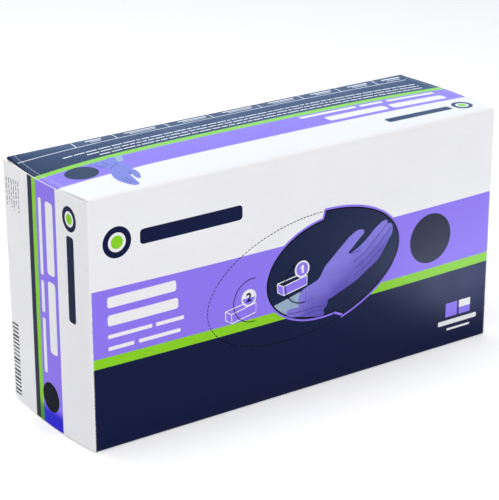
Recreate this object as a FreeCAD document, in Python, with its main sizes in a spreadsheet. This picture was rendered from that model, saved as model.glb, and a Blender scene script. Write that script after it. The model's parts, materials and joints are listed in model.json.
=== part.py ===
import FreeCAD, Part

import math
import os

import Sketcher
from FreeCAD import Placement, Rotation, Vector

# Folding paperboard dispenser carton for disposable gloves, packed and glued shut.
# Row frame: +X along the length, -Y is the dispensing face, +Z up.
# The origin is the middle of the base. Everything is in millimetres.

doc = FreeCAD.newDocument("glove_carton")


# ---------------------------------------------------------------- driving sizes

sheet = doc.addObject("Spreadsheet::Sheet", "sizes")
SIZES = {
    # carton, over its creases
    "length": 240.0,
    "depth": 75.0,
    "height": 125.0,
    "board": 0.5,
    "crease_radius": 0.4,
    "end_bow": 3.0,
    # clearances
    "crease_gap": 0.15,
    "flap_gap": 0.3,
    "flap_inset": 0.8,
    "kerf": 0.3,
    # end flaps
    "outer_edge_inset": 0.5,
    "inner_flap_reach": 36.0,
    "dust_reach": 38.0,
    "dust_side_inset": 1.5,
    "dust_taper": 26.0,
    # seam along the back
    "seam_height": 16.0,
    "seam_end_inset": 9.0,
    "seam_glue_thick": 0.1,
    "seam_glue_width": 3.0,
    # hot-melt beads between the flaps
    "bead_thick": 0.2,
    "bead_width": 5.0,
    "bead_length": 26.0,
    "dust_bead_length": 12.0,
    # oval tear-out in the dispensing face
    "oval_offset": 0.1,
    "oval_drop": 63.6,
    "oval_major": 58.4,
    "oval_minor": 31.0,
    "oval_tilt": 8.5,
    "first_shift": 14.2,
    "first_lift": 2.1,
    "first_major": 37.8,
    "first_minor": 25.3,
    "first_tilt": 6.7,
    "top_jog_in": 10.2,
    "top_jog_out": 12.2,
    "bottom_jog_in": 18.2,
    "bottom_jog_out": 23.7,
    "jog_in_height": 26.9,
    "jog_overrun": 1.5,
    "jog_drop_in": 22.9,
    "jog_drop_out": 25.5,
    # push-in finger tabs
    "tab_radius": 11.5,
    "tab_chord": 1.5,
    "tab_one_shift": -1.6,
    "tab_one_drop": 2.0,
    "tab_two_shift": -31.5,
    "tab_two_drop": 4.6,
    # gloves, laid flat in a stack
    "headspace": 11.5,
    "stack_clearance": 0.6,
    "stack_end_clearance": 4.0,
    "glove_ply": 0.1,
    "cuff_width": 86.0,
    "palm_width": 94.0,
    "cuff_length": 92.0,
    "palm_length": 62.0,
    "thumb_width": 27.0,
}
BUNDLES = 10
GLOVES_PER_BUNDLE = 10

for row, (name, size) in enumerate(SIZES.items(), start=1):
    sheet.set(f"A{row}", name)
    sheet.set(f"B{row}", str(size))
    sheet.setAlias(f"B{row}", name)

# Worked out from the driving sizes.
DERIVED = {
    "half_length": "length / 2",
    "half_depth": "depth / 2",
    # the bowed end is an arc through the two upright creases
    "bow_radius": "(half_depth ^ 2 + end_bow ^ 2) / (2 * end_bow)",
    "bow_centre": "half_length + end_bow - bow_radius",
    # depth of each layer of flap, measured in from the outer face of the end
    "inner_flap_depth": "board + flap_gap",
    "dust_depth": "2 * (board + flap_gap)",
    "wall_depth": "dust_depth + board + crease_gap",
    "front_reach": "half_length - board - crease_gap",
    "back_reach": "bow_centre + sqrt((bow_radius - inner_flap_depth) ^ 2 - half_depth ^ 2)"
    " - board - crease_gap",
    "flap_height": "height - 2 * flap_inset",
    "dust_half_width": "half_depth - dust_side_inset",
    "stack_front": "headspace + board - half_depth",
    "stack_back": "half_depth - 2 * board - seam_glue_thick - stack_clearance",
    "glove_pitch": f"(stack_back - stack_front) / {BUNDLES * GLOVES_PER_BUNDLE}",
    "glove_thick": "2 * glove_ply",
    "glove_half": "bow_centre + bow_radius - end_bow - wall_depth - stack_end_clearance",
}
first_derived = len(SIZES) + 1
for row, (name, formula) in enumerate(DERIVED.items(), start=first_derived):
    sheet.set(f"A{row}", name)
    sheet.set(f"B{row}", "=" + formula)
    sheet.setAlias(f"B{row}", name)
doc.recompute()

subparts = []


# ---------------------------------------------------------------- helpers


def size(name):
    """A cell's present value."""
    return float(sheet.get(name))


def bind(obj, **formulas):
    """Tie properties to formulas of the sheet's names, written between braces."""
    for prop, formula in formulas.items():
        path = prop.replace("__", ".")
        obj.setExpression(path, in_sheet(formula))


def in_sheet(formula):
    """Put the sheet's name before each alias in a formula."""
    for name in sorted([*SIZES, *DERIVED], key=len, reverse=True):
        formula = formula.replace("{" + name + "}", "sizes." + name)
    return formula


def keep(obj, label):
    """Name a finished sub-part; its label names its file."""
    obj.Label = label
    subparts.append(obj)
    return obj


def new_body(name):
    body = doc.addObject("PartDesign::Body", name)
    body.AllowCompound = True
    return body


def new_sketch(body, name, role, offset=None):
    """A sketch on one of the body's own origin planes, lifted off it by a formula."""
    plane = next(f for f in body.Origin.OriginFeatures if f.Role == role)
    sketch = body.newObject("Sketcher::SketchObject", name)
    sketch.AttachmentSupport = [(plane, "")]
    sketch.MapMode = "FlatFace"
    if offset is not None:
        sketch.setExpression("AttachmentOffset.Base.z", in_sheet(offset))
    return sketch


def tie(sketch, *constraint, formula=None):
    """Add a constraint and, where it is a size, bind it to the sheet."""
    index = sketch.addConstraint(Sketcher.Constraint(*constraint))
    if formula is not None:
        sketch.setExpression(f"Constraints[{index}]", in_sheet(formula))
    return index


def value_of(formula):
    """The present value of a formula, for placing a sketch's points before they are tied."""
    found = sheet.evalExpression(in_sheet(formula))
    return float(getattr(found, "Value", found))


def polygon(sketch, corners):
    """A closed outline of straight lines whose corners are pairs of formulas."""
    spots = [Vector(value_of(u), value_of(v), 0) for u, v in corners]
    count = len(spots)
    first = sketch.GeometryCount
    for i, spot in enumerate(spots):
        sketch.addGeometry(Part.LineSegment(spot, spots[(i + 1) % count]), False)
    for i in range(count):
        following = first + (i + 1) % count
        tie(sketch, "Coincident", first + i, 2, following, 1)
    for i, (u, v) in enumerate(corners):
        place_point(sketch, first + i, 1, u, v)


def place_point(sketch, geometry, end, u, v):
    """Fix a point of a sketch by its two coordinates."""
    for kind, formula in (("DistanceX", u), ("DistanceY", v)):
        at = value_of(formula)
        tie(sketch, kind, -1, 1, geometry, end, at, formula=formula)


def pad(body, sketch, name, length):
    feature = body.newObject("PartDesign::Pad", name)
    feature.Profile = sketch
    feature.setExpression("Length", in_sheet(length))
    return feature


# ---------------------------------------------------------------- carton tube


def plain_panel(label, x, y, z):
    """A flat rectangular panel between three pairs of formulas."""
    panel = doc.addObject("Part::Box", label)
    for axis, prop, (low, high) in zip("xyz", ("Length", "Width", "Height"), (x, y, z)):
        panel.setExpression(f"Placement.Base.{axis}", in_sheet(low))
        panel.setExpression(prop, in_sheet(f"({high}) - ({low})"))
    return panel


def bowed_panel(label, low):
    """A top or bottom panel: straight along its long creases, an arc at each bowed end."""
    body = new_body(label + "_body")
    sketch = new_sketch(body, label + "_outline", "XY_Plane", low)
    end_x = "({bow_centre} + sqrt(({bow_radius} - {wall_depth}) ^ 2 - {half_depth} ^ 2))"
    corner_x = value_of(end_x)
    half = size("half_depth")
    centre = size("bow_centre")
    radius = size("bow_radius") - size("wall_depth")
    swing = math.asin(half / radius)
    front = Part.LineSegment(Vector(-corner_x, -half, 0), Vector(corner_x, -half, 0))
    back = Part.LineSegment(Vector(corner_x, half, 0), Vector(-corner_x, half, 0))
    right = Part.ArcOfCircle(
        Part.Circle(Vector(centre, 0, 0), Vector(0, 0, 1), radius), -swing, swing
    )
    left = Part.ArcOfCircle(
        Part.Circle(Vector(-centre, 0, 0), Vector(0, 0, 1), radius),
        math.pi - swing,
        math.pi + swing,
    )
    for piece in (front, right, back, left):
        sketch.addGeometry(piece, False)
    for a, a_end, b, b_end in ((0, 2, 1, 1), (1, 2, 2, 1), (2, 2, 3, 1), (3, 2, 0, 1)):
        tie(sketch, "Coincident", a, a_end, b, b_end)
    place_point(sketch, 1, 3, "{bow_centre}", "0")
    place_point(sketch, 3, 3, "0 - {bow_centre}", "0")
    depth_formula = "{bow_radius} - {wall_depth}"
    tie(sketch, "Radius", 1, radius, formula=depth_formula)
    tie(sketch, "Radius", 3, radius, formula=depth_formula)
    tie(sketch, "DistanceY", -1, 1, 0, 1, -half, formula="0 - {half_depth}")
    tie(sketch, "DistanceY", -1, 1, 0, 2, -half, formula="0 - {half_depth}")
    tie(sketch, "DistanceY", -1, 1, 2, 1, half, formula="{half_depth}")
    tie(sketch, "DistanceY", -1, 1, 2, 2, half, formula="{half_depth}")
    pad(body, sketch, label + "_board", "{board}")
    return body


def long_edges(body, z):
    """Names of the two straight edges that run along X at a height."""
    names = []
    for i, edge in enumerate(body.Shape.Edges, start=1):
        box = edge.BoundBox
        if box.XLength > size("half_length") and box.YLength < 0.01:
            if abs(box.ZMin - z) < 0.01 and box.ZLength < 0.01:
                names.append(f"Edge{i}")
    return names


def round_creases(body, label, z):
    """Round a panel's two long outer edges, where the board turns a corner."""
    doc.recompute()
    board = body.Tip
    edges = long_edges(body, z)
    fillet = body.newObject("PartDesign::Fillet", label + "_creases")
    fillet.Base = (board, edges)
    fillet.setExpression("Radius", in_sheet("{crease_radius}"))
    body.Tip = fillet


def carton_tube():
    top = bowed_panel("top_panel", "{height} - {board}")
    round_creases(top, "top_panel", size("height"))
    keep(top, "top_panel")
    bottom = bowed_panel("bottom_panel", "0")
    round_creases(bottom, "bottom_panel", 0.0)
    keep(bottom, "bottom_panel")
    back = plain_panel(
        "back_panel",
        ("0 - {back_reach}", "{back_reach}"),
        ("{half_depth} - {board}", "{half_depth}"),
        ("{board}", "{height} - {board}"),
    )
    keep(back, "back_panel")


def seam():
    """The glue flap turned up from the bottom panel inside the back, and its line of glue."""
    body = new_body("seam_flap_body")
    face = "{half_depth} - {board} - {seam_glue_thick}"
    sketch = new_sketch(body, "seam_outline", "XZ_Plane", f"0 - ({face})")
    reach = "({back_reach} - {seam_end_inset})"
    top = "{board} + {seam_height}"
    lean = "{seam_height} / 4"
    polygon(
        sketch,
        [
            (f"0 - {reach}", "{board}"),
            (reach, "{board}"),
            (f"{reach} - {lean}", top),
            (f"{lean} - {reach}", top),
        ],
    )
    pad(body, sketch, "seam_board", "{board}")
    keep(body, "seam_flap")
    glue = plain_panel(
        "seam_glue",
        (f"{lean} - {reach}", f"{reach} - {lean}"),
        (face, "{half_depth} - {board}"),
        (
            "{board} + ({seam_height} - {seam_glue_width}) / 2",
            "{board} + ({seam_height} + {seam_glue_width}) / 2",
        ),
    )
    keep(glue, "seam_glue")


# ---------------------------------------------------------------- tear-outs


def upright_prism(name, outline, start, thick):
    """Push an outline that lies in the XZ plane back along Y."""
    prism = doc.addObject("Part::Extrusion", name)
    prism.Base = outline
    prism.DirMode = "Custom"
    prism.Dir = Vector(0, 1, 0)
    prism.Solid = True
    prism.setExpression("LengthFwd", in_sheet(thick))
    prism.setExpression("Placement.Base.y", in_sheet(start))
    return prism


def oval_prism(name, major, minor, tilt, x, z, grow="0"):
    """A tilted oval plug as thick as the board, grown by a margin all round."""
    outline = doc.addObject("Part::Ellipse", name + "_outline")
    outline.Placement = Placement(Vector(), Rotation(Vector(1, 0, 0), 90))
    bind(outline, MajorRadius=f"{major} + {grow}", MinorRadius=f"{minor} + {grow}")
    prism = upright_prism(name, outline, "0 - {half_depth}", "{board}")
    prism.setExpression("Placement.Base.x", in_sheet(x))
    prism.setExpression("Placement.Base.z", in_sheet(z))
    prism.Placement.Rotation = Rotation(Vector(0, -1, 0), value_of(tilt))
    prism.setExpression("Placement.Rotation.Angle", in_sheet(tilt))
    return prism


OVAL_X = "{oval_offset}"
OVAL_Z = "({height} - {oval_drop})"


def oval(name, grow):
    return oval_prism(
        name, "{oval_major}", "{oval_minor}", "{oval_tilt}", OVAL_X, OVAL_Z, grow
    )


def first_oval(name, grow):
    return oval_prism(
        name,
        "{first_major}",
        "{first_minor}",
        "{first_tilt}",
        f"{OVAL_X} + {{first_shift}}",
        f"{OVAL_Z} + {{first_lift}}",
        grow,
    )


def splitter(name, shift):
    """The right-hand part of the oval: its left side steps out at the two jogs."""
    body = new_body(name + "_body")
    sketch = new_sketch(body, name + "_outline", "XZ_Plane", "{half_depth}")
    far = f"{OVAL_X} + 2 * {{oval_major}}"
    high = f"{OVAL_Z} + 2 * {{oval_minor}}"
    low = f"{OVAL_Z} - 2 * {{oval_minor}}"
    polygon(
        sketch,
        [
            (f"{OVAL_X} + {{top_jog_in}} - {shift}", f"{OVAL_Z} + {{jog_in_height}}"),
            (f"{OVAL_X} + {{top_jog_out}} - {shift}", f"{OVAL_Z} + {{oval_minor}} + {{jog_overrun}}"),
            (f"{OVAL_X} + {{top_jog_out}} - {shift}", high),
            (far, high),
            (far, low),
            (f"{OVAL_X} + {{bottom_jog_out}} - {shift}", low),
            (f"{OVAL_X} + {{bottom_jog_out}} - {shift}", f"{OVAL_Z} - {{jog_drop_out}}"),
            (f"{OVAL_X} + {{bottom_jog_in}} - {shift}", f"{OVAL_Z} - {{jog_drop_in}}"),
        ],
    )
    pad(body, sketch, name + "_block", "{board}").Reversed = True
    return body


def boolean(kind, name, base, tool):
    result = doc.addObject("Part::" + kind, name)
    result.Base = base
    result.Tool = tool
    return result


def tab_cutter(name, x, z, grow):
    """The round finger tab: a disc of board, cut off straight along its crease."""
    disc = doc.addObject("Part::Cylinder", name + "_disc")
    bind(disc, Radius="{tab_radius} + " + grow, Height="{board}")
    disc.Placement = Placement(Vector(), Rotation(Vector(1, 0, 0), -90))
    disc.setExpression("Placement.Base.x", in_sheet(x))
    disc.setExpression("Placement.Base.y", in_sheet("0 - {half_depth}"))
    disc.setExpression("Placement.Base.z", in_sheet(z))
    reach = "2 * {tab_radius}"
    side = plain_panel(
        name + "_side",
        (f"{x} - {reach}", f"{x} + {{tab_chord}} + {grow} / 2"),
        ("0 - {half_depth}", "{board} - {half_depth}"),
        (f"{z} - {reach}", f"{z} + {reach}"),
    )
    return boolean("Common", name, disc, side)


TABS = {
    "one": (f"({OVAL_X} + {{tab_one_shift}})", f"({OVAL_Z} - {{tab_one_drop}})"),
    "two": (f"({OVAL_X} + {{tab_two_shift}})", f"({OVAL_Z} - {{tab_two_drop}})"),
}


def dispensing_face():
    blank = plain_panel(
        "front_blank",
        ("0 - {front_reach}", "{front_reach}"),
        ("0 - {half_depth}", "{board} - {half_depth}"),
        ("{board}", "{height} - {board}"),
    )
    front = boolean("Cut", "front_cut", blank, oval("front_hole", "0"))
    keep(front, "front_panel")

    right_side = boolean(
        "Common", "first_right", oval("first_rim", "0 - {kerf}"), splitter("first_split", "0")
    )
    left_side = boolean(
        "Common",
        "first_left",
        first_oval("first_bulge", "0"),
        oval("first_limit", "0 - {kerf}"),
    )
    first = boolean("Fuse", "first_whole", right_side, left_side)
    first.Refine = True
    first = boolean("Cut", "first_open", first, tab_cutter("tab_one_hole", *TABS["one"], "0"))
    keep(first, "tear_out_1")

    second = boolean(
        "Cut", "second_bulge_off", oval("second_rim", "0 - {kerf}"), first_oval("first_room", "{kerf}")
    )
    second = boolean("Cut", "second_split_off", second, splitter("second_split", "{kerf}"))
    second = boolean("Cut", "second_open", second, tab_cutter("tab_two_hole", *TABS["two"], "0"))
    keep(second, "tear_out_2")

    keep(tab_cutter("tab_one", *TABS["one"], "0 - {kerf}"), "finger_tab_1")
    keep(tab_cutter("tab_two", *TABS["two"], "0 - {kerf}"), "finger_tab_2")


# ---------------------------------------------------------------- end flaps


def bowed_strip(label, side, outer, inner, y_low, y_high, z_low, tall):
    """An upright strip of the bowed end, between two depths below its outer face.

    side is 1 at the right end and -1 at the left end.
    """
    body = new_body(label + "_body")
    sketch = new_sketch(body, label + "_plan", "XY_Plane", z_low)
    centre = side * size("bow_centre")
    low, high = value_of(y_low), value_of(y_high)
    radii = [f"{{bow_radius}} - ({depth})" for depth in (outer, inner)]
    ends = []
    for formula in radii:
        radius = value_of(formula)
        angles = [math.asin(y / radius) for y in (low, high)]
        if side < 0:
            angles = [math.pi - a for a in reversed(angles)]
        circle = Part.Circle(Vector(centre, 0, 0), Vector(0, 0, 1), radius)
        arc = Part.ArcOfCircle(circle, *angles)
        sketch.addGeometry(arc, False)
        # an arc runs anticlockwise, so its first point is the low one on the right side
        ends.append((arc.StartPoint, arc.EndPoint))
    for k in (0, 1):
        sketch.addGeometry(Part.LineSegment(ends[0][k], ends[1][k]), False)
    for k, line in ((1, 2), (2, 3)):
        tie(sketch, "Coincident", 0, k, line, 1)
        tie(sketch, "Coincident", 1, k, line, 2)
    centre_formula = "{bow_centre}" if side > 0 else "0 - {bow_centre}"
    for arc, formula in enumerate(radii):
        place_point(sketch, arc, 3, centre_formula, "0")
        tie(sketch, "Radius", arc, value_of(formula), formula=formula)
        for end, formula_y in ((1, y_low), (2, y_high)):
            k = end if side > 0 else 3 - end
            at = value_of(formula_y)
            tie(sketch, "DistanceY", -1, 1, arc, k, at, formula=formula_y)
    pad(body, sketch, label + "_board", tall)
    return body


def trim_dust_flap(body, label, side, root, tip):
    """Cut the two sides of a dust flap back to a taper from its crease to its free edge."""
    doc.recompute()
    before = body.Shape.Volume
    sketch = new_sketch(body, label + "_sides", "YZ_Plane")
    wide = "{dust_half_width}"
    narrow = "({dust_half_width} - {dust_reach} * tan({dust_taper} * 1 deg))"
    beyond = "{half_depth}"
    for sign in ("", "0 - "):
        polygon(
            sketch,
            [
                (f"{sign}{wide}", root),
                (f"{sign}{beyond}", root),
                (f"{sign}{beyond}", tip),
                (f"{sign}{narrow}", tip),
            ],
        )
    pocket = body.newObject("PartDesign::Pocket", label + "_taper")
    pocket.Profile = sketch
    pocket.Type = "ThroughAll"
    pocket.Reversed = side > 0
    doc.recompute()
    if body.Shape.Volume > before * 0.95:
        raise RuntimeError(label + " was not tapered")


def beads(label, side, spots, outer, thick):
    """Beads of hot melt on the outer face of a flap: each one is low y, high y, low z, height."""
    strips = [
        bowed_strip(f"{label}_{i}", side, f"{outer} - {thick}", outer, *spot)
        for i, spot in enumerate(spots, start=1)
    ]
    group = doc.addObject("Part::Compound", label + "_group")
    group.Links = strips
    keep(group, label)


def end_closure(name, side):
    flap_low = "{flap_inset}"
    outer = bowed_strip(
        name + "_outer",
        side,
        "0",
        "{board}",
        "0 - {half_depth}",
        "{half_depth} - {outer_edge_inset}",
        flap_low,
        "{flap_height}",
    )
    keep(outer, name + "_outer_flap")
    inner = bowed_strip(
        name + "_inner",
        side,
        "{inner_flap_depth}",
        "{inner_flap_depth} + {board}",
        "{half_depth} - {inner_flap_reach}",
        "{half_depth}",
        flap_low,
        "{flap_height}",
    )
    keep(inner, name + "_inner_flap")
    bead_tops = ["{height} / 2 + {bead_length} / 2", "{height} / 2 - 3 * {bead_length} / 2"]
    bead_y = ["{half_depth} - {inner_flap_reach} / 2", "{half_depth} - {inner_flap_reach} / 4"]
    beads(
        name + "_inner_flap_glue",
        side,
        [(y, y + " + {bead_width}", z, "{bead_length}") for y in bead_y for z in bead_tops],
        "{inner_flap_depth}",
        "{bead_thick}",
    )
    for end in ("top", "bottom"):
        label = f"{name}_{end}_dust"
        root, tip, low = "0", "{dust_reach}", "0"
        bead_low = "{dust_reach} - {dust_bead_length} - {bead_width}"
        if end == "top":
            root, tip = "{height}", "{height} - {dust_reach}"
            low = tip
            bead_low = "{height} - {dust_reach} + {bead_width}"
        dust = bowed_strip(
            label,
            side,
            "{dust_depth}",
            "{dust_depth} + {board}",
            "0 - {dust_half_width}",
            "{dust_half_width}",
            low,
            "{dust_reach}",
        )
        trim_dust_flap(dust, label, side, root, tip)
        keep(dust, label + "_flap")
        beads(
            label + "_glue",
            side,
            [("{bead_width}", "2 * {bead_width}", bead_low, "{dust_bead_length}")],
            "{dust_depth}",
            "{bead_thick}",
        )


# ---------------------------------------------------------------- gloves


# each finger's length as a share of the longest, from the little finger side
FINGER_LENGTHS = (0.80, 0.95, 1.0, 0.86)
# where a finger's rounded tip has its corners, as shares of the finger's width
TIP_EDGES = (0.08, 0.3, 0.7, 0.92)
WEB_DEPTH = 0.1


def glove_outline(sketch):
    """A glove laid flat, cuff to the left: cuff, palm, four fingers and a thumb."""
    left = "0 - {glove_half}"
    palm_x = f"{left} + {{cuff_length}}"
    knuckle_x = f"{palm_x} + {{palm_length}}"
    middle = "{height} / 2 - {thumb_width} / 3"
    finger = "{palm_width} / 4"
    reach = f"({{glove_half}} - ({knuckle_x}))"
    corners = [(left, f"{middle} - {{cuff_width}} / 2"), (palm_x, f"{middle} - {{cuff_width}} / 2")]
    corners.append((knuckle_x, f"{middle} - {{palm_width}} / 2"))
    for i, share in enumerate(FINGER_LENGTHS):
        base = f"{middle} - {{palm_width}} / 2 + {i} * {finger}"
        tip_x = f"{knuckle_x} + {share} * {reach}"
        round_x = f"{tip_x} - {finger} / 3"
        for x, edge in zip((round_x, tip_x, tip_x, round_x), TIP_EDGES):
            corners.append((x, f"{base} + {edge} * {finger}"))
        if i < len(FINGER_LENGTHS) - 1:
            corners.append((f"{knuckle_x} + {WEB_DEPTH} * {reach}", f"{base} + {finger}"))
    corners.append((knuckle_x, f"{middle} + {{palm_width}} / 2"))
    thumb_x = f"{knuckle_x} + {{thumb_width}} / 2"
    thumb_top = f"{middle} + {{palm_width}} / 2 + 0.7 * {{thumb_width}}"
    corners.append((f"{knuckle_x} - {{thumb_width}} / 2", f"{middle} + {{palm_width}} / 2 + 1"))
    corners.append((thumb_x, f"{thumb_top} - {{thumb_width}} / 3"))
    corners.append((thumb_x, thumb_top))
    corners.append((f"{thumb_x} - {{thumb_width}} / 2", thumb_top))
    corners.append((palm_x, f"{middle} + {{cuff_width}} / 2 + 2"))
    corners.append((left, f"{middle} + {{cuff_width}} / 2"))
    polygon(sketch, corners)


def glove_bundle(number):
    """Ten flat gloves, one behind the other; the bundles turn end for end in turn."""
    name = f"glove_bundle_{number:02d}"
    body = new_body(name + "_body")
    first = f"{{stack_front}} + {(number - 1) * GLOVES_PER_BUNDLE} * {{glove_pitch}}"
    sketch = new_sketch(body, name + "_outline", "XZ_Plane", f"0 - ({first})")
    glove_outline(sketch)
    glove = pad(body, sketch, name + "_glove", "{glove_thick}")
    glove.Reversed = True
    row = body.newObject("PartDesign::LinearPattern", name + "_stack")
    row.Originals = [glove]
    row.Direction = (sketch, ["N_Axis"])
    row.Reversed = True
    row.Occurrences = GLOVES_PER_BUNDLE
    row.setExpression("Length", in_sheet(f"{GLOVES_PER_BUNDLE - 1} * {{glove_pitch}}"))
    body.Tip = row
    if number % 2 == 0:
        body.Placement = Placement(Vector(), Rotation(Vector(0, 1, 0), 180))
        body.setExpression("Placement.Base.z", in_sheet("{height}"))
    keep(body, name)


# ---------------------------------------------------------------- build and write


def check():
    for obj in doc.Objects:
        bad = [word for word in obj.State if word in ("Invalid", "Error")]
        if bad:
            raise RuntimeError(f"{obj.Name} ({obj.Label}) is {bad}")
    for part in subparts:
        if part.Shape.isNull() or not part.Shape.isValid():
            raise RuntimeError(part.Label + " has no valid shape")
        if not part.Shape.Solids:
            raise RuntimeError(part.Label + " has no solid")


def write():
    os.makedirs("parts", exist_ok=True)
    for part in subparts:
        part.Shape.exportStep(f"parts/{part.Label}.step")
        box = part.Shape.BoundBox
        print(
            f"{part.Label}: {len(part.Shape.Solids)} solids, {part.Shape.Volume:.1f} mm3, "
            f"x {box.XMin:.2f} {box.XMax:.2f} y {box.YMin:.2f} {box.YMax:.2f} "
            f"z {box.ZMin:.2f} {box.ZMax:.2f}"
        )


carton_tube()
seam()
dispensing_face()
end_closure("left", -1)
end_closure("right", 1)
for bundle in range(1, BUNDLES + 1):
    glove_bundle(bundle)
doc.recompute()
check()
write()
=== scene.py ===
"""A sealed folding carton of disposable nitrile gloves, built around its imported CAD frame."""

import json
import math
import random

import bpy
from mathutils import Vector, noise
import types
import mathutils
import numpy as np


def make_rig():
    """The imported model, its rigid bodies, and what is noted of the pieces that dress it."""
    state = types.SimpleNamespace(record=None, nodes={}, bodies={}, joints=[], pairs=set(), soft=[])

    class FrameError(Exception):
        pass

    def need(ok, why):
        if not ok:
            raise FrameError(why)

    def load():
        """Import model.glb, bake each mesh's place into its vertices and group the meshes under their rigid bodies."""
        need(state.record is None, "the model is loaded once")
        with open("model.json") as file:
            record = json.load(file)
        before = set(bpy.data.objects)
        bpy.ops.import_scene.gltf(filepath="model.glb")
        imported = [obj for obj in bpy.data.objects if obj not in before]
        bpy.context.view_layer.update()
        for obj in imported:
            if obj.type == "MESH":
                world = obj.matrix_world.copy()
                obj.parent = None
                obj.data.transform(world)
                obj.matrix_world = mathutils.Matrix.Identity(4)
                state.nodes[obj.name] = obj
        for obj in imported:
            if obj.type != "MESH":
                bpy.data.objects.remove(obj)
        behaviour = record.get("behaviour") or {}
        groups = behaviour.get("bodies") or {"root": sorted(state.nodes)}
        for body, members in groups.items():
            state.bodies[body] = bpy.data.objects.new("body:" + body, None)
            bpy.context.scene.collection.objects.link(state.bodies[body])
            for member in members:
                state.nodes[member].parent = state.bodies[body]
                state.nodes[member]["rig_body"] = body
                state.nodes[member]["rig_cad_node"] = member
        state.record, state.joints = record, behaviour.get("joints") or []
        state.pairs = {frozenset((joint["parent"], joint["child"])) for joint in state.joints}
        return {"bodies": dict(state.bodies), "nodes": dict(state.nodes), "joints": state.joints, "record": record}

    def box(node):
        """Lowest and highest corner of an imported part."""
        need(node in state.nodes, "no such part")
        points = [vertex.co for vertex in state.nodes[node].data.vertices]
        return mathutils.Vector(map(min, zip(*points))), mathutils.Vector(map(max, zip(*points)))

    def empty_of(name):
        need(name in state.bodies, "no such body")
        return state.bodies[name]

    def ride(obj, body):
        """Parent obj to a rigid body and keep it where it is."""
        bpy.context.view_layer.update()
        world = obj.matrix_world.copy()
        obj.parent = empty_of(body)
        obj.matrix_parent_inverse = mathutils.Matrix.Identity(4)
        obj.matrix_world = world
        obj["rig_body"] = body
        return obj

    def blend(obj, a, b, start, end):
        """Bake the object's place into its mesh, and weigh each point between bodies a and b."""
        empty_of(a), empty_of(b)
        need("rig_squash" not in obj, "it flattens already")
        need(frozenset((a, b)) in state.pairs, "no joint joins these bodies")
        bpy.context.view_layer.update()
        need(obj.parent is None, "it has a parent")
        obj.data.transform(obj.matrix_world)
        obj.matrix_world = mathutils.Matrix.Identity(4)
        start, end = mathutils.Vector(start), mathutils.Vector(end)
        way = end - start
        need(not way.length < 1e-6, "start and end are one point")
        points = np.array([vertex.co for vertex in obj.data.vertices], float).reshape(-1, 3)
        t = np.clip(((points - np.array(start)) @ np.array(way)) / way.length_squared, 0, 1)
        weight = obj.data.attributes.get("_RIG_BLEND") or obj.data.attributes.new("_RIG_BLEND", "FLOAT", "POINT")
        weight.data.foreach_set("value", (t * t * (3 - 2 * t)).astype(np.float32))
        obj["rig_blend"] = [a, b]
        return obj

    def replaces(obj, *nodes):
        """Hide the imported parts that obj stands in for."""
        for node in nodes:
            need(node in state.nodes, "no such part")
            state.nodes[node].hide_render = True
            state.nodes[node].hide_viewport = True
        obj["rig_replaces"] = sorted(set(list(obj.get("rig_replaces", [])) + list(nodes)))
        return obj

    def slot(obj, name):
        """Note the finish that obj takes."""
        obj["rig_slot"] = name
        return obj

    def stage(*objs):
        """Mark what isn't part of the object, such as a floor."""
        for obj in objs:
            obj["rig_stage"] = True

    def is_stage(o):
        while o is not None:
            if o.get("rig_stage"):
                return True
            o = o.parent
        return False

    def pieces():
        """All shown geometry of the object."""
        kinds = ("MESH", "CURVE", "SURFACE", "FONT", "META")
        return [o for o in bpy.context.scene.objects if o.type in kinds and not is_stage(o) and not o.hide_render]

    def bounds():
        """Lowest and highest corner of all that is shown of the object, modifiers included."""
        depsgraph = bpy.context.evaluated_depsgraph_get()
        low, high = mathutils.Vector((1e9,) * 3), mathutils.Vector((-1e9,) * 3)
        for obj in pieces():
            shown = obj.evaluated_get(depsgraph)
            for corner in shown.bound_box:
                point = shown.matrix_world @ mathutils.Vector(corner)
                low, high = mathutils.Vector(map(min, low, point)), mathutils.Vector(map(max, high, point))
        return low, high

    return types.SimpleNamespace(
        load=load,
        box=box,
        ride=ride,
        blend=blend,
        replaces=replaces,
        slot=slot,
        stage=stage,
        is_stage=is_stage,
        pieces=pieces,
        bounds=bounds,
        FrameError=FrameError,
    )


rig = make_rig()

bl_info = {
    "name": "Glove Dispenser Carton",
    "version": (1, 0, 0),
    "blender": (4, 5, 0),
    "location": "3D View > Sidebar > Glove Carton",
    "description": "Builds a printed folding carton of flat-stacked nitrile gloves",
    "category": "Add Mesh",
}

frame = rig.load()
CAD_BOX = [list(corner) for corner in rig.bounds()]
MM = 0.001
HALF_LENGTH = 0.120
FRONT_LOW, FRONT_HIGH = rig.box("front_panel")
TOP_LOW, TOP_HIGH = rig.box("top_panel")
FLAP_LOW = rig.box("left_outer_flap")[0]


# ---------------------------------------------------------------- properties


def metres(label, about, default):
    return bpy.props.FloatProperty(name=label, description=about, default=default, unit="LENGTH")


def degrees(label, about, default):
    turn = math.radians(default)
    return bpy.props.FloatProperty(name=label, description=about, default=turn, subtype="ANGLE")


def watts(label, about, default):
    return bpy.props.FloatProperty(name=label, description=about, default=default, subtype="POWER")


def hue(label, about, default):
    return bpy.props.StringProperty(name=label, description=about, default=default)


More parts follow.
